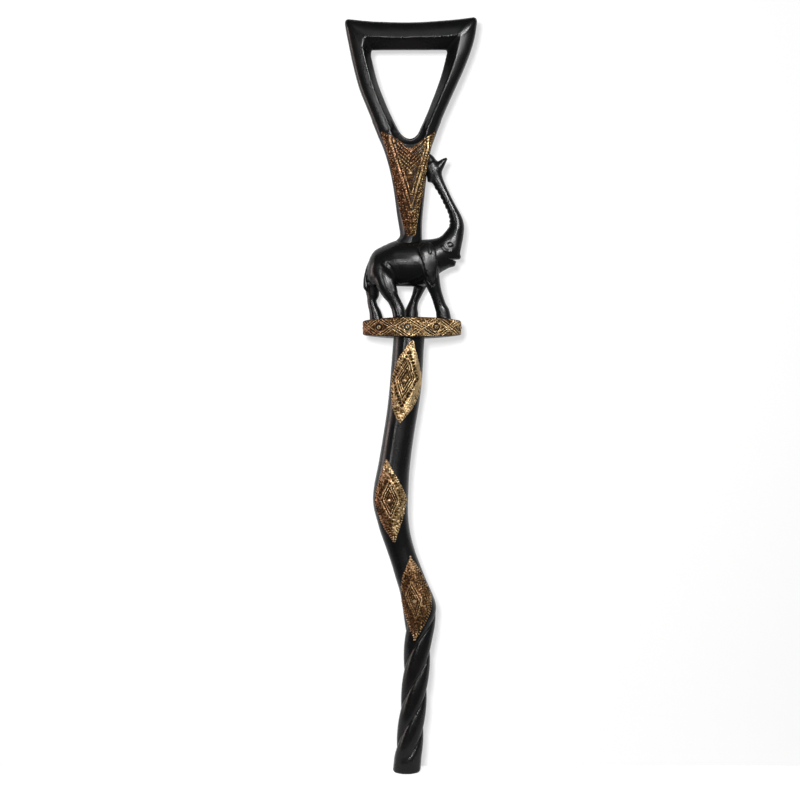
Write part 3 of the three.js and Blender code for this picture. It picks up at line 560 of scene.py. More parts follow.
TORSO = [
    (-45, 66, 47, 14), (-42, 79, 43, 29), (-37.5, 87, 41, 39), (-29, 93, 40, 46), (-17, 99.3, 40.5, 50),
    (-2, 100.5, 40.3, 50), (11, 101, 41, 46), (19, 101.7, 46, 38), (28.3, 104.7, 57.7, 32.5),
    (34, 110, 62, 29.5), (40, 111, 66, 25), (45, 106, 72, 19), (48.5, 98, 78, 11),
]
NEAR_HIND_LEG = [
    (-31.4, -17, 64, 14, 19), (-29.3, -23, 54, 13, 20), (-26.5, -25, 43.4, 12.2, 20),
    (-22.3, -26, 31, 10, 18), (-18.6, -26, 22.7, 7.9, 16.5), (-15.5, -26, 14.9, 8, 16),
    (-13.4, -26, 7.2, 8.6, 16.5), (-12.4, -26, -4, 8.2, 17),
]
FAR_HIND_LEG = [
    (-35.6, 17, 60, 12.8, 17), (-40.2, 23, 43.4, 9.6, 18), (-40, 25, 30.4, 8.3, 16.5),
    (-40.8, 25, 22.7, 6, 14.5), (-39.5, 25, 14.9, 6.3, 15), (-37.4, 25, 7.2, 7.7, 16),
    (-35.8, 25, -4, 9.4, 17),
]
NEAR_FRONT_LEG = [
    (14.4, -19, 70, 12.8, 19), (19, -24, 52, 10.9, 19.5), (21.5, -24, 40.7, 9.1, 18.5),
    (24.3, -23, 30.4, 7.6, 16.5), (26.3, -22, 22.7, 7.4, 16), (28.3, -21, 14.9, 7.6, 16),
    (30.7, -21, 7.2, 8.7, 16.5), (32, -21, -4, 9.6, 16.5),
]
FAR_FRONT_LEG = [
    (12.8, 17, 57.2, 11.7, 17), (8.6, 23, 43.4, 8.3, 18), (4.9, 25, 30.4, 6.2, 16),
    (2.4, 25, 22.7, 5.8, 14.5), (0.5, 25, 14.9, 6.9, 15), (-0.6, 25, 7.2, 9, 16),
    (-1.4, 25, -4, 10, 17),
]
EAR = [
    (15.5, 33, 93, 7, 9), (15.3, 41, 84, 11.5, 7), (16, 43, 71, 12.2, 6.5), (18, 42, 57, 8.8, 6),
    (20.6, 38, 46, 4.4, 5.5), (22, 35, 39.5, 1, 2.5),
]
EAR_EDGE = [
    (5, 101), (5.5, 90), (7.5, 81), (10.5, 70), (13.2, 58), (16.5, 47), (20.3, 41), (22, 47),
    (23.5, 58), (25, 70), (24, 84), (19, 96), (12, 101),
]
EAR_FOLD = [(17.5, 96), (17.2, 89), (18, 82)]
THIGH_EDGE = [(-26, 68), (-22, 62), (-19, 55), (-16, 45), (-14, 34)]
BELLY_EDGE = [(-12, 43.5), (-3, 46), (5, 50), (10, 54)]
UNDER_EYE = [(30, 90.5), (32.5, 86.3), (36, 84), (40, 84.5)]
TAIL = [
    (-37, 0, 79, 2.8, 5.5), (-42.5, 0, 70, 2.6, 5), (-46, 0, 59, 2.1, 4.6), (-47.3, 0, 48, 2.4, 5.4),
    (-46.6, 0, 40, 3.4, 7), (-45, 0, 33.5, 1.2, 3),
]
UPPER_LIP = [
    (38, 0, 84, 7, 16), (42.5, 0, 80.6, 4.6, 14), (46.2, 0, 79, 4.2, 12.5), (48, 0, 78.8, 3.4, 10),
    (49.3, 0, 78.8, 1.2, 4),
]
LOWER_LIP = [
    (32, 0, 74, 9, 17), (37.5, 0, 70.4, 5, 13), (41.2, 0, 70, 4.3, 12), (43, 0, 70.2, 3.3, 9),
    (44, 0, 70.4, 1, 4),
]
MOUTH = [
    (36, 0, 75.6, 0.3, 40), (41, 0, 74.9, 0.7, 40), (45, 0, 74, 1.5, 40), (50, 0, 71.5, 4.5, 40),
    (55, 0, 69, 7, 40),
]
TRUNK = [
    (37.5, 0, 82, 9.5, 20), (39.8, 0, 93, 12.6, 23), (42.3, 0, 105, 12.4, 21), (45, 0, 115.5, 10.1, 19.5),
    (45, 0, 123, 9, 18), (43.5, 0, 131, 7.7, 16.5), (41, 0, 139, 6.6, 15), (38, 0, 146.5, 6.3, 14.3),
    (35, 0, 154.3, 6.2, 13.8), (32, 0, 162, 6.4, 13.5), (28.6, 0, 170, 6.9, 13.7),
    (25.8, 0, 177.5, 7.4, 14), (23.5, 0, 185.3, 8, 14.5),
]
EYE = (38.3, 93.4)
TRUNK_RIBS = 9
TRUNK_MEETS = PLINTH_TOP + 2.06 * ELEPHANT_HEIGHT


def trunk_rings():
    edge = upper_right(TRUNK_MEETS)
    last = [edge + 1, 0, TRUNK_MEETS - 8, 0.09 * ELEPHANT_HEIGHT, 0.15 * ELEPHANT_DEPTH]

    def swell(t, turn):
        along = np.clip((t - 0.25) / 0.55, 0, 1)
        rib = np.abs(np.sin(math.pi * TRUNK_RIBS * along)) ** 0.7
        inner = ease(-np.cos(turn), 0.35, 0.9)
        return 1.25 * (rib - 0.55) * inner * ((t > 0.25) & (t < 0.8))

    return limb(np.vstack([figure(TRUNK), last]), swell, count=220)


def tip_rings():
    """The finger and the lobe at the trunk's tip, placed from where it meets the shaft."""
    edge = upper_right(TRUNK_MEETS)
    finger = [(9, -14, 6.5, 6), (13.5, -8, 5.2, 5), (18, -3, 3.2, 3.6), (21.5, 0, 1.3, 1.8)]
    lobe = [(3, -29, 5, 5), (4, -14, 8.5, 6.8), (0, -2, 7, 6), (-4, 6, 3, 4)]
    return [limb([(edge + x, 0, TRUNK_MEETS + z, across, deep) for x, z, across, deep in rows])
            for rows in (finger, lobe)]


def plinth_rings():
    angle = turns(180)
    rows = []
    for size, side in ((0.3, -1), (0.6, -1), (0.9, -1), (0.985, -1), (1, -0.93), (1, 0), (1, 0.93),
                       (0.985, 1), (0.9, 1), (0.6, 1), (0.3, 1)):
        half = mix(PLINTH_HALF, PLINTH_END_HALF, (size * np.cos(angle)) ** 2)
        x = PLINTH_SHIFT + size * RIM_LONG * np.cos(angle)
        rows.append(np.stack([x, size * RIM_DEEP * np.sin(angle), PLINTH_MIDDLE + side * half], -1))
    return np.array(rows)


def figure_line(way):
    """Points in the side view, from shares of the elephant's length and height."""
    return (PLINTH_SHIFT, PLINTH_TOP) + np.array(way) / 100 * (ELEPHANT_LENGTH, ELEPHANT_HEIGHT)


def stroke(x, z, way, width, shift=(0, 0), low=0, high=1):
    """1 on a line on the elephant's side, moved by a shift in millimetres, easing to 0 at its width."""
    way = figure_line(way) + shift
    nearest = np.full(len(x), 1e9)
    for (ax, az), (bx, bz) in zip(way, way[1:]):
        dx, dz = bx - ax, bz - az
        t = np.clip(((x - ax) * dx + (z - az) * dz) / (dx * dx + dz * dz), 0, 1)
        nearest = np.minimum(nearest, (x - ax - t * dx) ** 2 + (z - az - t * dz) ** 2)
    return ease(1 - np.sqrt(nearest) / width, low, high)


def elephant_carving(places):
    """How far the fine carving goes in at each place, or stands out where it is negative."""
    x, y, z = places.T
    deep = 0.02 * noise(places, 7, 21) + 0.08 * noise(places, 18, 22)
    outer = np.abs(y) > 11
    in_ear, _ = outline_distance(x, z, figure_line(EAR_EDGE))
    low_part = 1 - ease(z, PLINTH_TOP + 0.82 * ELEPHANT_HEIGHT, PLINTH_TOP + 0.97 * ELEPHANT_HEIGHT)
    rear_edge = EAR_EDGE[:7]
    deep -= 2.0 * low_part * ease(in_ear, -0.4, 0.8) * stroke(x, z, rear_edge, 15, low=0.1) * outer
    behind_ear = bump(in_ear, -1.2, 0.9) * stroke(x, z, rear_edge, 15, low=0.8, high=0.95)
    deep += 0.8 * low_part * behind_ear * outer
    deep -= 0.7 * stroke(x, z, EAR_FOLD, 3) * outer
    thigh = stroke(x, z, THIGH_EDGE, 5, (-2.5, 0))
    ahead = stroke(x, z, THIGH_EDGE, 2.6, (1.5, 0))
    deep += (0.9 * ahead - 1.0 * thigh) * (y < -8)
    below = stroke(x, z, BELLY_EDGE, 2.6, (0, -2.4))
    deep += (0.8 * below - 0.6 * stroke(x, z, BELLY_EDGE, 3)) * (y < -6)
    eye_x, eye_z = figure_line(EYE)
    from_eye = np.hypot((x - eye_x) / 1.25, z - eye_z)
    eye = 0.8 * bump(from_eye, 0, 4.8) - 0.9 * np.maximum(1 - (from_eye / 3.4) ** 2, 0)
    return deep + (eye - 0.5 * stroke(x, z, UNDER_EYE, 2.6)) * (np.abs(y) > 4)


def make_elephant():
    box = Volume((-58, -31, 524), (74, 31, 752))
    torso = [(a, 0, (top + bottom) / 2, (top - bottom) / 2, deep) for a, top, bottom, deep in TORSO]
    box.join(limb(figure(torso), facing=(1, 0, 0)), 1)
    for leg in (NEAR_HIND_LEG, FAR_HIND_LEG, NEAR_FRONT_LEG, FAR_FRONT_LEG):
        box.join(limb(figure(leg)), 2.5)
    for rings in (trunk_rings(), *tip_rings()):
        box.join(rings, 3)
    for lip in (UPPER_LIP, LOWER_LIP):
        box.join(limb(figure(lip)), 1.2)
    box.cut(limb(figure(MOUTH)))
    for ear in (EAR, [(a, -out, *rest) for a, out, *rest in EAR]):
        box.join(limb(figure(ear)), 1.2)
    box.join(limb(figure(TAIL)), 1.5)
    box.join(plinth_rings(), 1.5)
    at, places = box.near_skin()
    box.field[at] += elephant_carving(places)
    points, quads = box.skin(3)
    return make_piece("wood_elephant", points, quads)


# Brass sheets. A pattern is laid out flat, in (s, z): s runs round the wood, z is the height.


def outline_distance(s, z, corners):
    """How far inside a closed outline each point is, and how far along it the nearest place is."""
    corners = np.asarray(corners, np.float32)
    s, z = s.astype(np.float32), z.astype(np.float32)
    nearest = np.full(s.shape, 1e9, np.float32)
    along = np.zeros(s.shape, np.float32)
    inside = np.zeros(s.shape, bool)
    run = 0.0
    for (a, b), (c, d) in zip(corners, np.roll(corners, -1, 0)):
        length = max(math.hypot(c - a, d - b), 1e-6)
        t = np.clip(((s - a) * (c - a) + (z - b) * (d - b)) / length**2, 0, 1)
        away = (s - a - t * (c - a)) ** 2 + (z - b - t * (d - b)) ** 2
        closer = away < nearest
        nearest = np.where(closer, away, nearest)
        along = np.where(closer, run + t * length, along)
        crosses = (b > z) != (d > z)
        inside ^= crosses & (s < a + (z - b) * (c - a) / (d - b if abs(d - b) > 1e-6 else 1e-6))
        run += length
    distance = np.sqrt(nearest)
    return np.where(inside, distance, -distance), along


def beads(along, across, pitch, size):
    """Round marks at a pitch along a line, 1 in their middles."""
    off = (along / pitch - np.round(along / pitch)) * pitch
    return np.exp(-(off**2 + across**2) / size**2)


def cord(along, across, pitch, width):
    """A raised line with slanting strokes, like a twisted cord."""
    strokes = 0.72 + 0.28 * np.sin(TAU * (along + 0.9 * across) / pitch)
    return bump(across, 0, width) * strokes


def stipple(s, z, pitch, size, seed):
    """Small punched marks, one at a random place in each cell of a grid."""
    total = np.zeros_like(s)
    i0, j0 = np.floor(s / pitch), np.floor(z / pitch)
    for di in (-1, 0, 1):
        for dj in (-1, 0, 1):
            i, j = i0 + di, j0 + dj
            u = (i + 0.15 + 0.7 * scatter(i * 3.1 + j * 17.3, seed)) * pitch
            v = (j + 0.15 + 0.7 * scatter(i * 11.7 + j * 5.9, seed + 1)) * pitch
            deep = 0.5 + 0.5 * scatter(i * 7.3 + j * 2.9, seed + 2)
            total = np.maximum(total, deep * np.exp(-((s - u) ** 2 + (z - v) ** 2) / size**2))
    return total


def arc_on(shaft, height, angle):
    """Where a point lies on the shaft's unrolled skin, to the right of its front."""
    shares = np.linspace(0, 1, 13).reshape((-1,) + (1,) * np.ndim(angle))
    steps = shaft.at(height + 0 * shares, angle * shares)[..., :2]
    length = np.linalg.norm(np.diff(steps, axis=0), axis=-1).sum(0)
    return shaft.middle(height) + np.sign(angle) * length


def rim_of(grid):
    """The points round the edge of a grid, in order."""
    return np.concatenate([grid[0, :-1], grid[:-1, -1], grid[-1, :0:-1], grid[:0:-1, 0]])


def sheet_grid(rows, columns):
    """Shares of the way down and across a sheet."""
    return np.meshgrid(np.linspace(0, 1, rows), np.linspace(0, 1, columns), indexing="ij")


def pressed_round_tacks(relief, shaft, s, z, spots):
    """The relief with a ring pressed into it round each tack."""
    for name, (height, angle) in spots:
        away = np.hypot(s - arc_on(shaft, height, angle), z - height)
        wide = (STUD if "_tack" in name else PIN)["head"]
        relief = np.where(away < wide * 1.9, mix(relief, 0.0, bump(away, 0, wide * 1.2)), relief)
        relief += 0.55 * bump(away, 0, wide * 0.75) - 0.28 * bump(away, wide * 1.35, 0.5)
    return relief


def make_sheet(name, place, relief, copper_and_left_shade):
    """A closed sheet: place(lift) gives its skin, which the relief lifts in millimetres."""
    edge = np.ones(relief.shape)
    for k, share in ((0, 0.0), (1, 0.6)):
        for line in (edge[k], edge[-1 - k], edge[:, k], edge[:, -1 - k]):
            np.minimum(line, share, out=line)
    top, low = place(0.18 + edge * (0.3 + relief)), place(np.full(edge.shape, -0.4))
    quads = grid_quads(*edge.shape, False, False)
    here = rim_of(np.arange(edge.size).reshape(edge.shape))
    after = np.roll(here, -1)
    sides = np.stack([after, here, here + edge.size, after + edge.size], -1)
    faces = np.concatenate([quads, quads[:, ::-1] + edge.size, sides])
    points, faces, _ = facing_out(np.concatenate([top.reshape(-1, 3), low.reshape(-1, 3)]), faces)
    height = np.clip(0.45 + relief / 0.9, 0, 1) * (0.25 + 0.75 * edge)
    both = {"relief": np.tile(height.ravel(), 2), "copper_and_left_shade": np.tile(np.clip(copper_and_left_shade, 0, 1).ravel(), 2)}
    return make_piece(name, points, faces, attributes=both)


MOST_POLISH_AND_SHEEN = 0.36
# A diamond's tips (top and bottom) are angles. Its side corners are (height from its middle as a share
# of its length, angle, bulge of the edge above, bulge of the edge below), and its tacks (across, down).
# The corners of the pattern on it are (angle, height from the middle). Its polish raises and smooths its
# border and paints a highlight there, stronger towards the right; holes is the depth of the dots and bold
# the height of the lines of its pattern, and its copper share is how red and dark it is at its left and
# its
# right: partly the brass's own tone, partly painted warm, dim light on the left.
DIAMONDS = {
    "top": {
        "height": 473.5, "top": 13, "bottom": -4,
        "left": (-0.04, -63, 0.2, 0.18), "right": (0.01, 70, -0.03, 0.2),
        "tack": (0.42, 0.49), "upper": (0.5, 0.15), "lower": (0.5, 0.86),
        "pattern": [(5, 34), (41, 3), (-7, -29), (-47, 3)],
        "gloss": MOST_POLISH_AND_SHEEN, "holes": 1.2, "bold": 1.15, "copper_and_left_shade": (0.3, 0.0),
    },
    "middle": {
        "height": 330, "top": -31, "bottom": -14,
        "left": (0.01, -61, 0, 0.17), "right": (0.02, 65, 0.02, 0.12),
        "tack": (0.45, 0.5), "upper": (0.5, 0.13), "lower": (0.5, 0.86),
        "pattern": [(-10, 31), (36, 1), (-10, -28), (-40, 1)],
        "gloss": 0.2, "holes": 0.6, "bold": 1, "copper_and_left_shade": (0.9, 0.1),
    },
    "bottom": {
        "height": 211.3, "top": 30, "bottom": -15,
        "left": (-0.04, -80, 0.1, 0.08), "right": (0.11, 68, 0.3, 0.05),
        "tack": (0.5, 0.52), "upper": (0.5, -0.01), "lower": (0.5, 0.86),
        "pattern": [(6, 27), (22, 0), (-13, -31), (-50, 4)],
        "gloss": 0.0, "holes": 0.4, "bold": 0.55, "copper_and_left_shade": (0.7, 0.4),
    },
}


def diamond_edge(diamond, side, down):
    level, angle, bulge_above, bulge_below = diamond["left"] if side < 0 else diamond["right"]
    corner = 0.5 - level
    above = down < corner
    part = np.where(above, down / corner, (1 - down) / (1 - corner))
    tip = np.where(above, diamond["top"], diamond["bottom"]) + 2 * side
    bulge = np.where(above, bulge_above, bulge_below) * np.sin(math.pi * part)
    return np.radians(mix(tip, angle, part + bulge))


def diamond_angle(diamond, across, down):
    return mix(diamond_edge(diamond, -1, down), diamond_edge(diamond, 1, down), across)


def diamond_height(diamond, down):
    return diamond["height"] + (0.5 - down) * DIAMOND_LENGTH


def make_diamond(where, seed):
    diamond = DIAMONDS[where]
    gloss = diamond["gloss"]
    down, across = sheet_grid(300, 120)
    height = diamond_height(diamond, down)
    z0 = height[:, :1] * [[1, 1, 1]]
    ragged = np.radians(1.6) * (noise(z0 / 2.2, 1, seed) + 0.5 * noise(z0, 1, seed + 1))
    angle = diamond_angle(diamond, across, down) + ragged[:, None] * (2 * across - 1) ** 3
    s, z = arc_on(lower_shaft, height, angle), height
    flat = np.stack([s, z, 0 * s], -1)
    inset, run = outline_distance(s, z, rim_of(flat)[::4, :2])
    corners = [(arc_on(lower_shaft, diamond["height"] + up, math.radians(turn)), diamond["height"] + up)
               for turn, up in diamond["pattern"]]
    inner, way = outline_distance(s, z, corners)
    inner = inner + 0.3 * noise(flat, 5, seed + 2)
    relief = 0.12 * noise(flat, 1.4, seed + 3) + 0.10 * noise(flat, 4, seed + 4)
    smooth = ease(across, 0.6, 0.85) * (1 - ease(down, 0.45, 0.6)) * gloss / MOST_POLISH_AND_SHEEN
    relief += 0.6 * (1 - smooth) * np.sin(TAU * (run + 0.4 * inset) / 3.1) * bump(inset, 1.9, 1.7)
    # The border is raised and brightened: polish, and a painted highlight that grows towards the right,
    # where the light falls.
    relief += gloss * (0.7 + 0.8 * across + 0.5 * noise(flat, 5, seed + 7)) * (1 - ease(inner, 0.8, 2.0))
    relief += 0.45 * (1 - ease(down, 0.06, 0.24)) * (1 - gloss)
    relief -= diamond["holes"] * beads(way, inner + 0.6, 4.1, 1.5)
    for level, rise in ((2.6, 0.62), (5.2, 0.58), (7.7, 0.36)):
        relief += diamond["bold"] * rise * cord(way, inner - level, 2.4, 0.72)
        relief -= 0.42 * bump(inner, level + 1.35, 0.6)
    marked = (inner < -2.2) | (inner > 8.6)
    marks = np.where(inner > 8.6, 0.5, 1.0 - 1.2 * gloss) * marked * ease(inset, 0.4, 2.2)
    relief -= 0.55 * stipple(s, z, 2.7, 0.8, seed) * marks
    relief = pressed_round_tacks(relief, lower_shaft, s, z, tack_spots[where])
    # Redder and darker towards the left: partly the brass's own tone, partly painted warm, dim light on
    # that side.
    copper_and_left_shade = mix(*diamond["copper_and_left_shade"], ease(across + 0.18 * noise(flat, 9, seed + 6), 0.1, 0.8))
    return make_sheet(
        f"brass_diamond_{where}", lambda lift: lower_shaft.at(height, angle, lift), relief, copper_and_left_shade)


V_TOP = HOLE_BOTTOM + 7
V_BOTTOM = BACK + 4
V_NOTCH = 22
V_NOTCH_AT = 0.46
v_levels = mix(V_BOTTOM, V_TOP, np.array([0, 0.12, 0.37, 0.66, 1]))
v_left = profile(list(zip(v_levels, (-0.38, -0.61, -0.82, -0.9, -0.87))))
v_right = profile(list(zip(v_levels, (0.36, 0.56, 0.83, 0.95, 0.97))))


def v_angle(across, height):
    left = upper_shaft.angle_at(height, v_left(height))
    right = upper_shaft.angle_at(height, v_right(height))
    return mix(left, right, across)


def v_height(across, down):
    def x_at(part):
        return upper_shaft.at(V_TOP, v_angle(part, V_TOP))[..., 0]

    horn = np.where(across < V_NOTCH_AT, x_at(0.0), x_at(1.0))
    deepest = x_at(V_NOTCH_AT)
    return mix(V_TOP - V_NOTCH * (x_at(across) - horn) / (deepest - horn), V_BOTTOM, down)


def on_handle(height, angle, lift):
    """A point on the upper shaft, brought forward where the arms of the handle stand out of it."""
    spot = upper_shaft.at(height, angle, lift)
    front = handle_front(spot[..., 0], spot[..., 2]) - lift
    higher = np.minimum(spot[..., 1], front)
    spot[..., 1] = mix(spot[..., 1], higher, ease(spot[..., 2], HOLE_BOTTOM - 40, HOLE_BOTTOM - 24))
    return spot


def make_v():
    down, across = sheet_grid(330, 200)
    height = v_height(across, down)
    angle = v_angle(across, height)
    s, z = arc_on(upper_shaft, height, angle), height
    flat = np.stack([s, z, 0 * s], -1)
    inset, run = outline_distance(s, z, rim_of(flat)[::5, :2])

    def corner(x, up):
        """A corner of the pattern on the flat sheet, from its x and its height on the stick."""
        part = (x - upper_shaft.middle(up)) / upper_shaft.wide(up)
        return arc_on(upper_shaft, up, upper_shaft.angle_at(up, part)), up

    left, right, foot, dip = corner(-20, 764), corner(25.5, 754), corner(5.5, 683), corner(4.9, 750)
    _, way = outline_distance(s, z, [left, dip, right, foot])
    tilt = np.abs(s - dip[0])
    beside = tilt * 1.4
    from_top = (dip[1] + 0.95 * tilt - z) * 0.72 + 0.3 * noise(flat, 6, 53)
    sides = outline_distance(s, z, [foot, left, (left[0], 800), (right[0], 800), right])[0]
    relief = 0.13 * noise(flat, 1.4, 54) + 0.12 * noise(flat, 4.5, 55)
    relief += 0.26 * np.sin(TAU * (run + 0.8 * inset) / 2.8) * bump(inset, 2.2, 1.8)
    relief += 0.95 * beads(way, sides, 3.1, 1.0) * (from_top > -2)
    relief -= 0.45 * bump(np.abs(sides), 2.3, 0.7)
    relief += 0.80 * beads(way, sides - 4.3, 2.8, 0.85) * (from_top > 2)
    relief -= 0.40 * bump(sides, 6.0, 0.7)
    chevrons = (sides > 5.2) & (from_top > -1) & (z > 700)
    relief += 0.55 * bump(from_top, 0.4, 0.7) * (sides > 1)
    relief -= 0.35 * bump(from_top, 1.9, 0.6) * (sides > 1)
    relief -= 0.2 * chevrons
    for row in range(5):
        level = 3.6 + 3.4 * row
        relief += 1.05 * beads(beside + 1.3 * row, from_top - level, 3.7, 0.85) * chevrons
        relief -= 0.40 * bump(from_top, level + 1.7, 0.6) * chevrons
    field = ~chevrons & (np.abs(sides) > 1.6)
    relief -= 0.60 * stipple(s, z, 2.6, 0.8, 56) * field * ease(inset, 0.5, 2.5)
    relief += 0.65 * stipple(s, z, 3.1, 0.75, 58) * field
    relief -= 0.16 * (1 - ease(z, 684, 716))
    relief = pressed_round_tacks(relief, upper_shaft, s, z, tack_spots["v"])
    # Redder and darker towards the left: partly the brass's own tone, partly painted warm, dim light on
    # that side.
    copper_and_left_shade = 1 - ease(across + 0.2 * noise(flat, 10, 57), 0.2, 0.85)
    return make_sheet("brass_v", lambda lift: on_handle(height, angle, lift), relief, copper_and_left_shade)


def rim_angle(share):
    """The angle on the plinth's rim at a share of the way round it."""
    fine = np.linspace(0, TAU, 4001)
    x, y = RIM_LONG * np.cos(fine), RIM_DEEP * np.sin(fine)
    run = np.concatenate([[0], np.cumsum(np.hypot(np.diff(x), np.diff(y)))])
    return np.interp(np.asarray(share) % 1 * run[-1], run, fine), run[-1]


def on_rim(angle, lift):
    """A point on the plinth's rim, lifted off it, and the way out there."""
    cos, sin = np.cos(angle), np.sin(angle)
    out = np.stack([cos / RIM_LONG, sin / RIM_DEEP, 0 * angle], -1)
    out /= np.linalg.norm(out, axis=-1, keepdims=True)
    spot = np.stack([PLINTH_SHIFT + RIM_LONG * cos, RIM_DEEP * sin, PLINTH_MIDDLE + 0 * angle], -1)
    return spot + out * np.asarray(lift)[..., None], out


BAND_STUDS = 8
BAND_FIRST = 0.73
BAND_SEAM = 0.0385
BAND_GAP = 0.0022
LOZENGE_HALF = 11


def make_band():
    down, share = sheet_grid(78, 860)
    up = 1 - 2 * down
    share = BAND_SEAM + mix(BAND_GAP, 1 - BAND_GAP, share)
    angle, length = rim_angle(share)
    s = share * length
    ragged = 0.35 * noise(s[0, :, None] * [1, 0, 0], 4, 61)
    half = mix(PLINTH_HALF, PLINTH_END_HALF, np.cos(angle) ** 2) - 0.7 + ragged * np.sign(up) * 0.6
    z = up * half
    flat = np.stack([s, z, 0 * s], -1)
    cell = (share - BAND_FIRST) * BAND_STUDS
    pitch = length / BAND_STUDS
    slope = math.sin(math.atan2(LOZENGE_HALF, pitch / 2))
    relief = 0.14 * noise(flat, 1.2, 62) + 0.14 * noise(flat, 5, 63)
    lines = np.zeros_like(s)
    for way in (1, -1):
        a = cell - 0.5 - way * (z / LOZENGE_HALF) / 2
        off = (a - np.round(a)) * pitch * slope + 0.35 * noise(flat, 5, 64 + way)
        run = s + way * z
        for shift in (-2.6, 0, 2.6):
            lines = np.maximum(lines, cord(run, off - shift, 2.6, 0.75))
        lines -= 0.75 * bump(np.abs(off), 1.3, 0.5) * (1 - np.maximum(lines, 0))
    away = np.hypot((cell - np.round(cell)) * pitch, z)
    relief += (0.62 + 0.22 * noise(flat, 3.5, 68)) * lines
    free = np.clip(1 - 1.8 * np.abs(lines), 0, 1)
    relief -= 0.60 * stipple(s, z, 2.5, 0.75, 66) * free
    relief = mix(relief, 0.0, bump(away, 0, 3.4))
    relief += 0.55 * bump(away, 0, 1.8) + 0.40 * bump(away, 5.0, 0.7) - 0.50 * bump(away, 3.6, 0.8)
    relief += 0.16 * np.sin(TAU * s / 1.9) * bump(np.abs(z), half - 1.2, 0.9)
    side = np.cos(angle)
    # Painted highlight: the relief, and with it the bright gold, is raised on the right half of the band,
    # where the light falls; the whole band is also lowered a little.
    relief += 0.14 * ease(side, -0.2, 0.7) - 0.09
    # Redder and darker towards the left: partly the brass's own tone, partly painted warm, dim light on
    # that side.
    copper_and_left_shade = 0.15 + 0.85 * (1 - ease(side + 0.15 * noise(flat, 14, 67), -0.95, -0.3))
    rise = np.stack([0 * z, 0 * z, z], -1)
    return make_sheet("brass_band", lambda lift: on_rim(angle, lift)[0] + rise, relief, copper_and_left_shade)


# Tacks

STUD = {"head": 2.3, "rise": 1.5, "shank": 0.7, "dimple": 0, "rubbed_and_sheen": 0.85, "copper_and_left_shade": 0.2}
DIMPLED = {"head": 2.3, "rise": 1.4, "shank": 0.7, "dimple": 1.2, "rubbed_and_sheen": 0.9, "copper_and_left_shade": 0.1}
PIN = {"head": 1.3, "rise": 0.8, "shank": 0.5, "dimple": 0, "rubbed_and_sheen": 0.4, "copper_and_left_shade": 0.6}
BRIGHT_PIN = {**PIN, "rubbed_and_sheen": 0.85, "copper_and_left_shade": 0.1}


def make_tack(node, kind, spot, out, seed):
    """A domed head, a little uneven, on a short shank."""
    head, shank = kind["head"], kind["shank"]
    tilt = np.linspace(0, math.pi / 2, 10)[1:]
    dome = slice(len(tilt))
    radius = np.concatenate([head * np.sin(tilt), [0.97 * head, shank, shank]])[:, None]
    level = np.concatenate([kind["rise"] * np.cos(tilt) ** 0.9, [-0.18, -0.2, -3.0]])[:, None]
    turn = turns(28)
    ring = np.stack([radius * np.cos(turn), radius * np.sin(turn), level + 0 * turn], -1)
    ring[dome, :, 2] += 0.08 * head * noise(ring[dome], 1.6 * head, seed)
    ring[dome, :, 2] -= kind["dimple"] * bump(radius[dome], 0, 0.42 * head)
    side = np.cross(out, [0, 0, 1.0])
    side /= np.linalg.norm(side)
    axes = np.stack([side, np.cross(out, side), out])
    points, quads, triangles = facing_out(*skin(spot + ring @ axes))
    rubbed_and_sheen = kind["rubbed_and_sheen"] + 0 * ring[..., 0]
    rubbed_and_sheen[dome] -= 0.8 * kind["dimple"] * bump(radius[dome], 0, 0.5 * head)
    rubbed_and_sheen = np.clip(np.append(rubbed_and_sheen, [rubbed_and_sheen[0, 0], 0]), 0, 1)
    return make_piece(f"visual_{node}", points, quads, triangles,
                      {"relief": rubbed_and_sheen, "copper_and_left_shade": 0 * rubbed_and_sheen + kind["copper_and_left_shade"]})


# The tacks of the V sheet, by their shares of the way across and down it
V_TACKS = {
    "v_plate_tack": (0.49, 0.3), "v_plate_pin_middle": (0.51, 0.38), "v_plate_pin_left": (0.09, 0.03),
    "v_plate_pin_right": (0.9, 0.035), "v_plate_pin_foot": (0.5, 0.975),
}


def spots_on_wood():
    """Each tack's (height, angle) on its shaft, under the sheet that it holds."""
    spots = {"v": []}
    for name, (across, down) in V_TACKS.items():
        height = v_height(np.array(across), down)
        spots["v"].append((name, (height, v_angle(across, height))))
    for where, diamond in DIAMONDS.items():
        spots[where] = []
        for name, at in (("tack_{}", "tack"), ("pin_{}_upper", "upper"), ("pin_{}_lower", "lower")):
            across, down = np.array(diamond[at])
            spot = (diamond_height(diamond, down), diamond_angle(diamond, across, down))
            spots[where].append(("diamond_" + name.format(where), spot))
    return spots


tack_spots = spots_on_wood()


def make_tacks():
    made = []
    for where, spots in tack_spots.items():
        shaft = upper_shaft if where == "v" else lower_shaft
        for name, (height, angle) in spots:
            kind = STUD if "_tack" in name else BRIGHT_PIN if name == "diamond_pin_bottom_upper" else PIN
            out = shaft.out(height, angle)
            spot = on_handle(height, angle, 0.0) if where == "v" else shaft.at(height, angle)
            made.append((name, kind, spot + TACK_LIFT * out, out))
    for i in range(BAND_STUDS):
        angle, _ = rim_angle(BAND_FIRST + i / BAND_STUDS)
        made.append((f"band_stud_{i + 1}", DIMPLED, *on_rim(angle, TACK_LIFT)))
    return {name: make_tack(name, kind, spot, out, seed)
            for seed, (name, kind, spot, out) in enumerate(made)}


# Materials


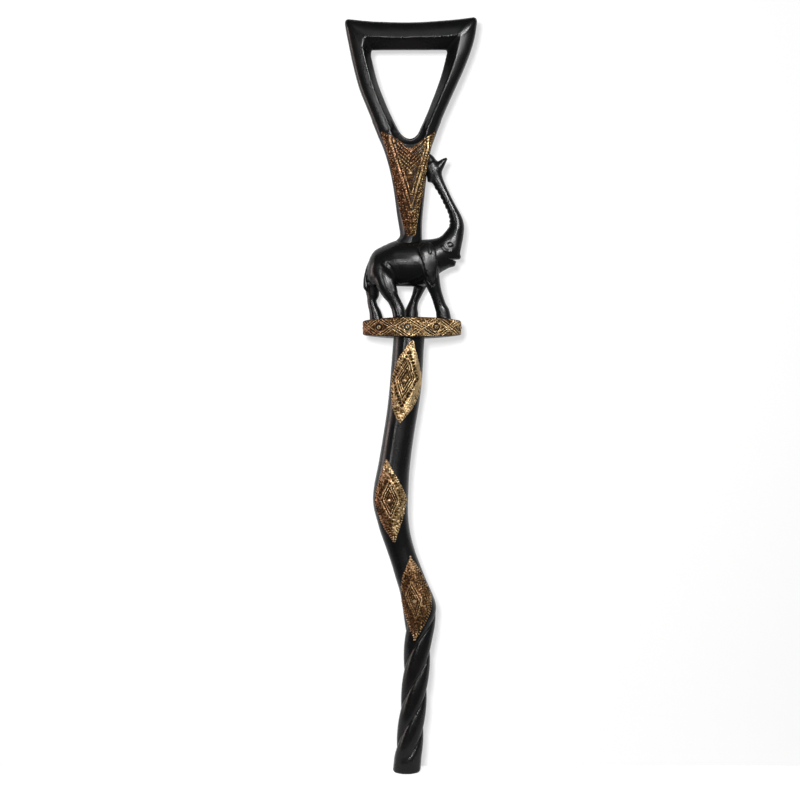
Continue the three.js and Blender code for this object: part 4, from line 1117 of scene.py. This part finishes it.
class Nodes:
    """Adds nodes to a tree. Their inputs are sockets or values, and their outputs come back."""

    def __init__(self, tree):
        self.tree = tree

    def feed(self, node, inputs):
        for key, value in inputs.items():
            if isinstance(value, bpy.types.NodeSocket):
                self.tree.links.new(value, node.inputs[key])
            else:
                node.inputs[key].default_value = value

    def finish(self, name, inputs):
        """Feeds a node that the tree has from the start."""
        self.feed(self.tree.nodes[name], inputs)

    def add(self, kind, inputs=None, **settings):
        node = self.tree.nodes.new(f"ShaderNode{kind}")
        for key, value in settings.items():
            setattr(node, key, value)
        self.feed(node, inputs or {})
        return node.outputs

    def math(self, operation, *values, clamp=False):
        return self.add("Math", dict(enumerate(values)), operation=operation, use_clamp=clamp)[0]

    def remap(self, value, low, high, to_low=0.0, to_high=1.0):
        ends = {"From Min": low, "From Max": high, "To Min": to_low, "To Max": to_high}
        return self.add("MapRange", {"Value": value, **ends})["Result"]

    def mix(self, part, a, b):
        return self.add("Mix", {"Factor": part, "A": a, "B": b}, data_type="RGBA")["Result"]

    def noise(self, place, scale, detail):
        return self.add("TexNoise", {"Vector": place, "Scale": scale, "Detail": detail})["Fac"]

    def attribute(self, name):
        return self.add("Attribute", attribute_name=name)["Fac"]

    def bump(self, height, strength, distance):
        return self.add("Bump", {"Height": height, "Strength": strength, "Distance": distance})["Normal"]


def new_material(name):
    material = bpy.data.materials.new(name)
    material.use_nodes = True
    return material, Nodes(material.node_tree)


WOOD_BLACK = (0.004, 0.0042, 0.0043, 1)
WOOD_BROWN = (0.012, 0.006, 0.005, 1)
WHITE = (1, 1, 1, 1)


def make_wood():
    material, nodes = new_material("black_wood")
    place = nodes.add("TexCoord")["Object"]
    stretched = nodes.add("Mapping", {"Vector": place, "Scale": (1, 1, 0.09)})["Vector"]
    grain = nodes.noise(stretched, 900.0, 5.0)
    blotch = nodes.noise(place, 45.0, 3.0)
    brown = nodes.math("MULTIPLY", nodes.remap(blotch, 0.45, 0.75), 0.25)
    # Browner on the crests of the lower shaft's twisted strands, from an attribute.
    brown = nodes.math("ADD", brown, nodes.attribute("strand_crest_brown"), clamp=True)
    nodes.finish("Principled BSDF", {
        "Base Color": nodes.mix(brown, WOOD_BLACK, WOOD_BROWN),
        "Roughness": nodes.remap(blotch, 0.3, 0.7, 0.22, 0.32),
        "Specular IOR Level": 0.42,
        "Normal": nodes.bump(grain, 0.04, 0.0004),
    })
    return material


DIRT = (0.024, 0.009, 0.002, 1)


def make_brass(name, gold, copper_and_left_shade):
    """Dark in the hollows, tarnished where it is flat and bright where it is raised: rubbed brass, and
    painted highlights that the relief carries.
    """
    material, nodes = new_material(name)
    place = nodes.add("TexCoord")["Object"]
    uneven = nodes.math("ADD", nodes.noise(place, 160.0, 4.0), -0.5)
    fine = nodes.noise(place, 640.0, 4.0)
    # The copper colour is redder and darker; where the attribute mixes it in at the left of the sheets,
    # it also stands for painted warm, dim light there.
    tint = nodes.math("MULTIPLY_ADD", uneven, 0.9, nodes.attribute("copper_and_left_shade"), clamp=True)
    bright = nodes.mix(tint, (*gold, 1), (*copper_and_left_shade, 1))
    dull = nodes.mix(tint, (*(0.26 * v**1.7 for v in gold), 1), (*(0.36 * v**1.7 for v in copper_and_left_shade), 1))
    level = nodes.math("MULTIPLY_ADD", uneven, 0.5, nodes.attribute("relief"))
    level = nodes.math("MULTIPLY_ADD", nodes.math("ADD", fine, -0.5), 1.7, level)
    # Bright where the relief is high: rubbed brass, and also the painted highlights raised into the
    # sheets' relief on their right-hand sides.
    rubbed_and_sheen = nodes.remap(level, 0.5, 0.9)
    clean = nodes.remap(level, 0.1, 0.45)
    nodes.finish("Principled BSDF", {
        "Base Color": nodes.mix(clean, DIRT, nodes.mix(rubbed_and_sheen, dull, bright)),
        "Metallic": nodes.remap(clean, 0, 1, 0.75, 1.0),
        "Roughness": nodes.remap(rubbed_and_sheen, 0, 1, 0.55, 0.42),
        "Normal": nodes.bump(fine, 0.25, 0.0002),
    })
    return material


wood = make_wood()
sheet_brass = make_brass("embossed_brass", (0.80, 0.58, 0.31), (0.56, 0.32, 0.18))
tack_brass = make_brass("tack_brass", (0.80, 0.62, 0.38), (0.60, 0.38, 0.23))


# The pieces


def dress(piece, node, material):
    """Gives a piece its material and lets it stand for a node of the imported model."""
    piece.data.materials.append(material)
    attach(piece, "root")
    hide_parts(node)
    print(piece.name, len(piece.data.polygons), "faces")


lower = make_lower_shaft()
handle, handle_front = make_handle()
for piece in (lower, handle, make_elephant()):
    dress(piece, "carved_body", wood)
dress(make_v(), "v_plate", sheet_brass)
dress(make_band(), "plinth_band", sheet_brass)
for where, seed in (("top", 71), ("middle", 81), ("bottom", 91)):
    dress(make_diamond(where, seed), f"diamond_plate_{where}", sheet_brass)
for node, piece in make_tacks().items():
    dress(piece, node, tack_brass)


# Stage, lights and camera


def seen_rays(nodes, mirrored_part):
    """1 for what the camera sees, and a part for what it sees by way of metal or glass."""
    rays = nodes.add("LightPath")
    mirrored = nodes.math("MAXIMUM", rays["Is Glossy Ray"], rays["Is Transmission Ray"])
    return nodes.math("MAXIMUM", rays["Is Camera Ray"], nodes.math("MULTIPLY", mirrored, mirrored_part))


def make_stage(name, corners, glow):
    """A pale surface that shows white to the camera, less where it is shaded, and clear from behind."""
    material, nodes = new_material(f"{name}_white")
    nodes.tree.nodes.remove(nodes.tree.nodes["Principled BSDF"])
    grey = nodes.add("BsdfDiffuse", {"Color": (0.42, 0.42, 0.42, 1)})[0]
    lit = nodes.math("MULTIPLY", seen_rays(nodes, 0.4), glow)
    shining = nodes.add("Emission", {"Color": WHITE, "Strength": lit})[0]
    both = nodes.add("AddShader", {0: grey, 1: shining})[0]
    clear = nodes.add("BsdfTransparent")[0]
    back = nodes.add("NewGeometry")["Backfacing"]
    either = nodes.add("MixShader", {"Fac": back, 1: both, 2: clear})[0]
    nodes.finish("Material Output", {"Surface": either})
    piece = make_piece(name, corners, [(0, 1, 2, 3)])
    piece.data.materials.append(material)


def make_lamp(name, place, aim, size, power, colour=(1, 1, 1), mirrored=True, soft=True):
    """A flat lamp in metres and watts: mirrored ones show in the gloss, soft ones light the colour."""
    data = bpy.data.lights.new(name, "AREA")
    data.shape = "RECTANGLE"
    data.size, data.size_y = size
    data.energy = power
    data.color = colour
    lamp = bpy.data.objects.new(name, data)
    lamp.location = place
    lamp.visible_glossy, lamp.visible_diffuse = mirrored, soft
    lamp.rotation_euler = (Vector(aim) - Vector(place)).to_track_quat("-Z", "Y").to_euler()
    bpy.context.scene.collection.objects.link(lamp)


make_stage("floor", [(-500, -140, 0), (500, -140, 0), (500, 600, 0), (-500, 600, 0)], 0.85)
make_stage("wall", [(-620, 31, 0), (620, 31, 0), (620, 31, 1100), (-620, 31, 1100)], 0.62)
make_lamp("key", (-0.3, -1.87, 0.8), (0, 0, 0.46), (0.36, 0.36), 40, mirrored=False)
make_lamp("front", (0.06, -1.9, 0.8), (0, 0, 0.6), (0.1, 0.1), 5.3, soft=False)
make_lamp("front_left", (-0.8, -1.7, 0.7), (0, 0, 0.6), (0.12, 0.5), 4.5, soft=False)
make_lamp("front_right", (0.6, -1.8, 1.28), (0, 0, 1.05), (0.11, 0.5), 19, soft=False)
make_lamp("right", (1.0, -1.6, 1.38), (0, 0, 0.9), (0.35, 0.16), 11, soft=False)
make_lamp("above", (0, -1.5, 1.85), (0, 0, 0.8), (1.0, 0.5), 1.0, soft=False)
make_lamp("left", (-1.6, 0, 0.6), (0, 0, 0.45), (0.2, 1.0), 6, (1, 0.82, 0.77), soft=False)
make_lamp("back", (0.7, 1.7, 1.4), (0, 0, 0.5), (0.8, 0.8), 14)


def make_world():
    """White to the camera and behind the object in its reflections, with a pale side to the right."""
    world = bpy.data.worlds.new("studio")
    bpy.context.scene.world = world
    world.use_nodes = True
    nodes = Nodes(world.node_tree)
    way = nodes.add("SeparateXYZ", {0: nodes.add("TexCoord")["Generated"]})
    seen = seen_rays(nodes, nodes.remap(way["Y"], 0, 0.7))
    strength = nodes.remap(way["X"], 0.3, 0.95, 0.04, 0.14)
    dim = nodes.add("Background", {"Color": WHITE, "Strength": strength})[0]
    bright = nodes.add("Background", {"Color": WHITE})[0]
    either = nodes.add("MixShader", {"Fac": seen, 1: dim, 2: bright})[0]
    nodes.finish("World Output", {"Surface": either})


make_world()

CAMERA_AWAY = 1.9
PIXELS = 800
MM_PER_PIXEL = 1.2137
camera = bpy.data.objects.new("camera", bpy.data.cameras.new("camera"))
bpy.context.scene.collection.objects.link(camera)
camera.data.sensor_width = 36
camera.data.lens = 36 * CAMERA_AWAY / (PIXELS * MM_PER_PIXEL * MM)
camera.location = (-7.9 * MM, -CAMERA_AWAY, 451.3 * MM)
camera.rotation_euler = (math.pi / 2, 0, 0)
bpy.context.scene.camera = camera
bpy.context.scene.view_settings.view_transform = "Standard"
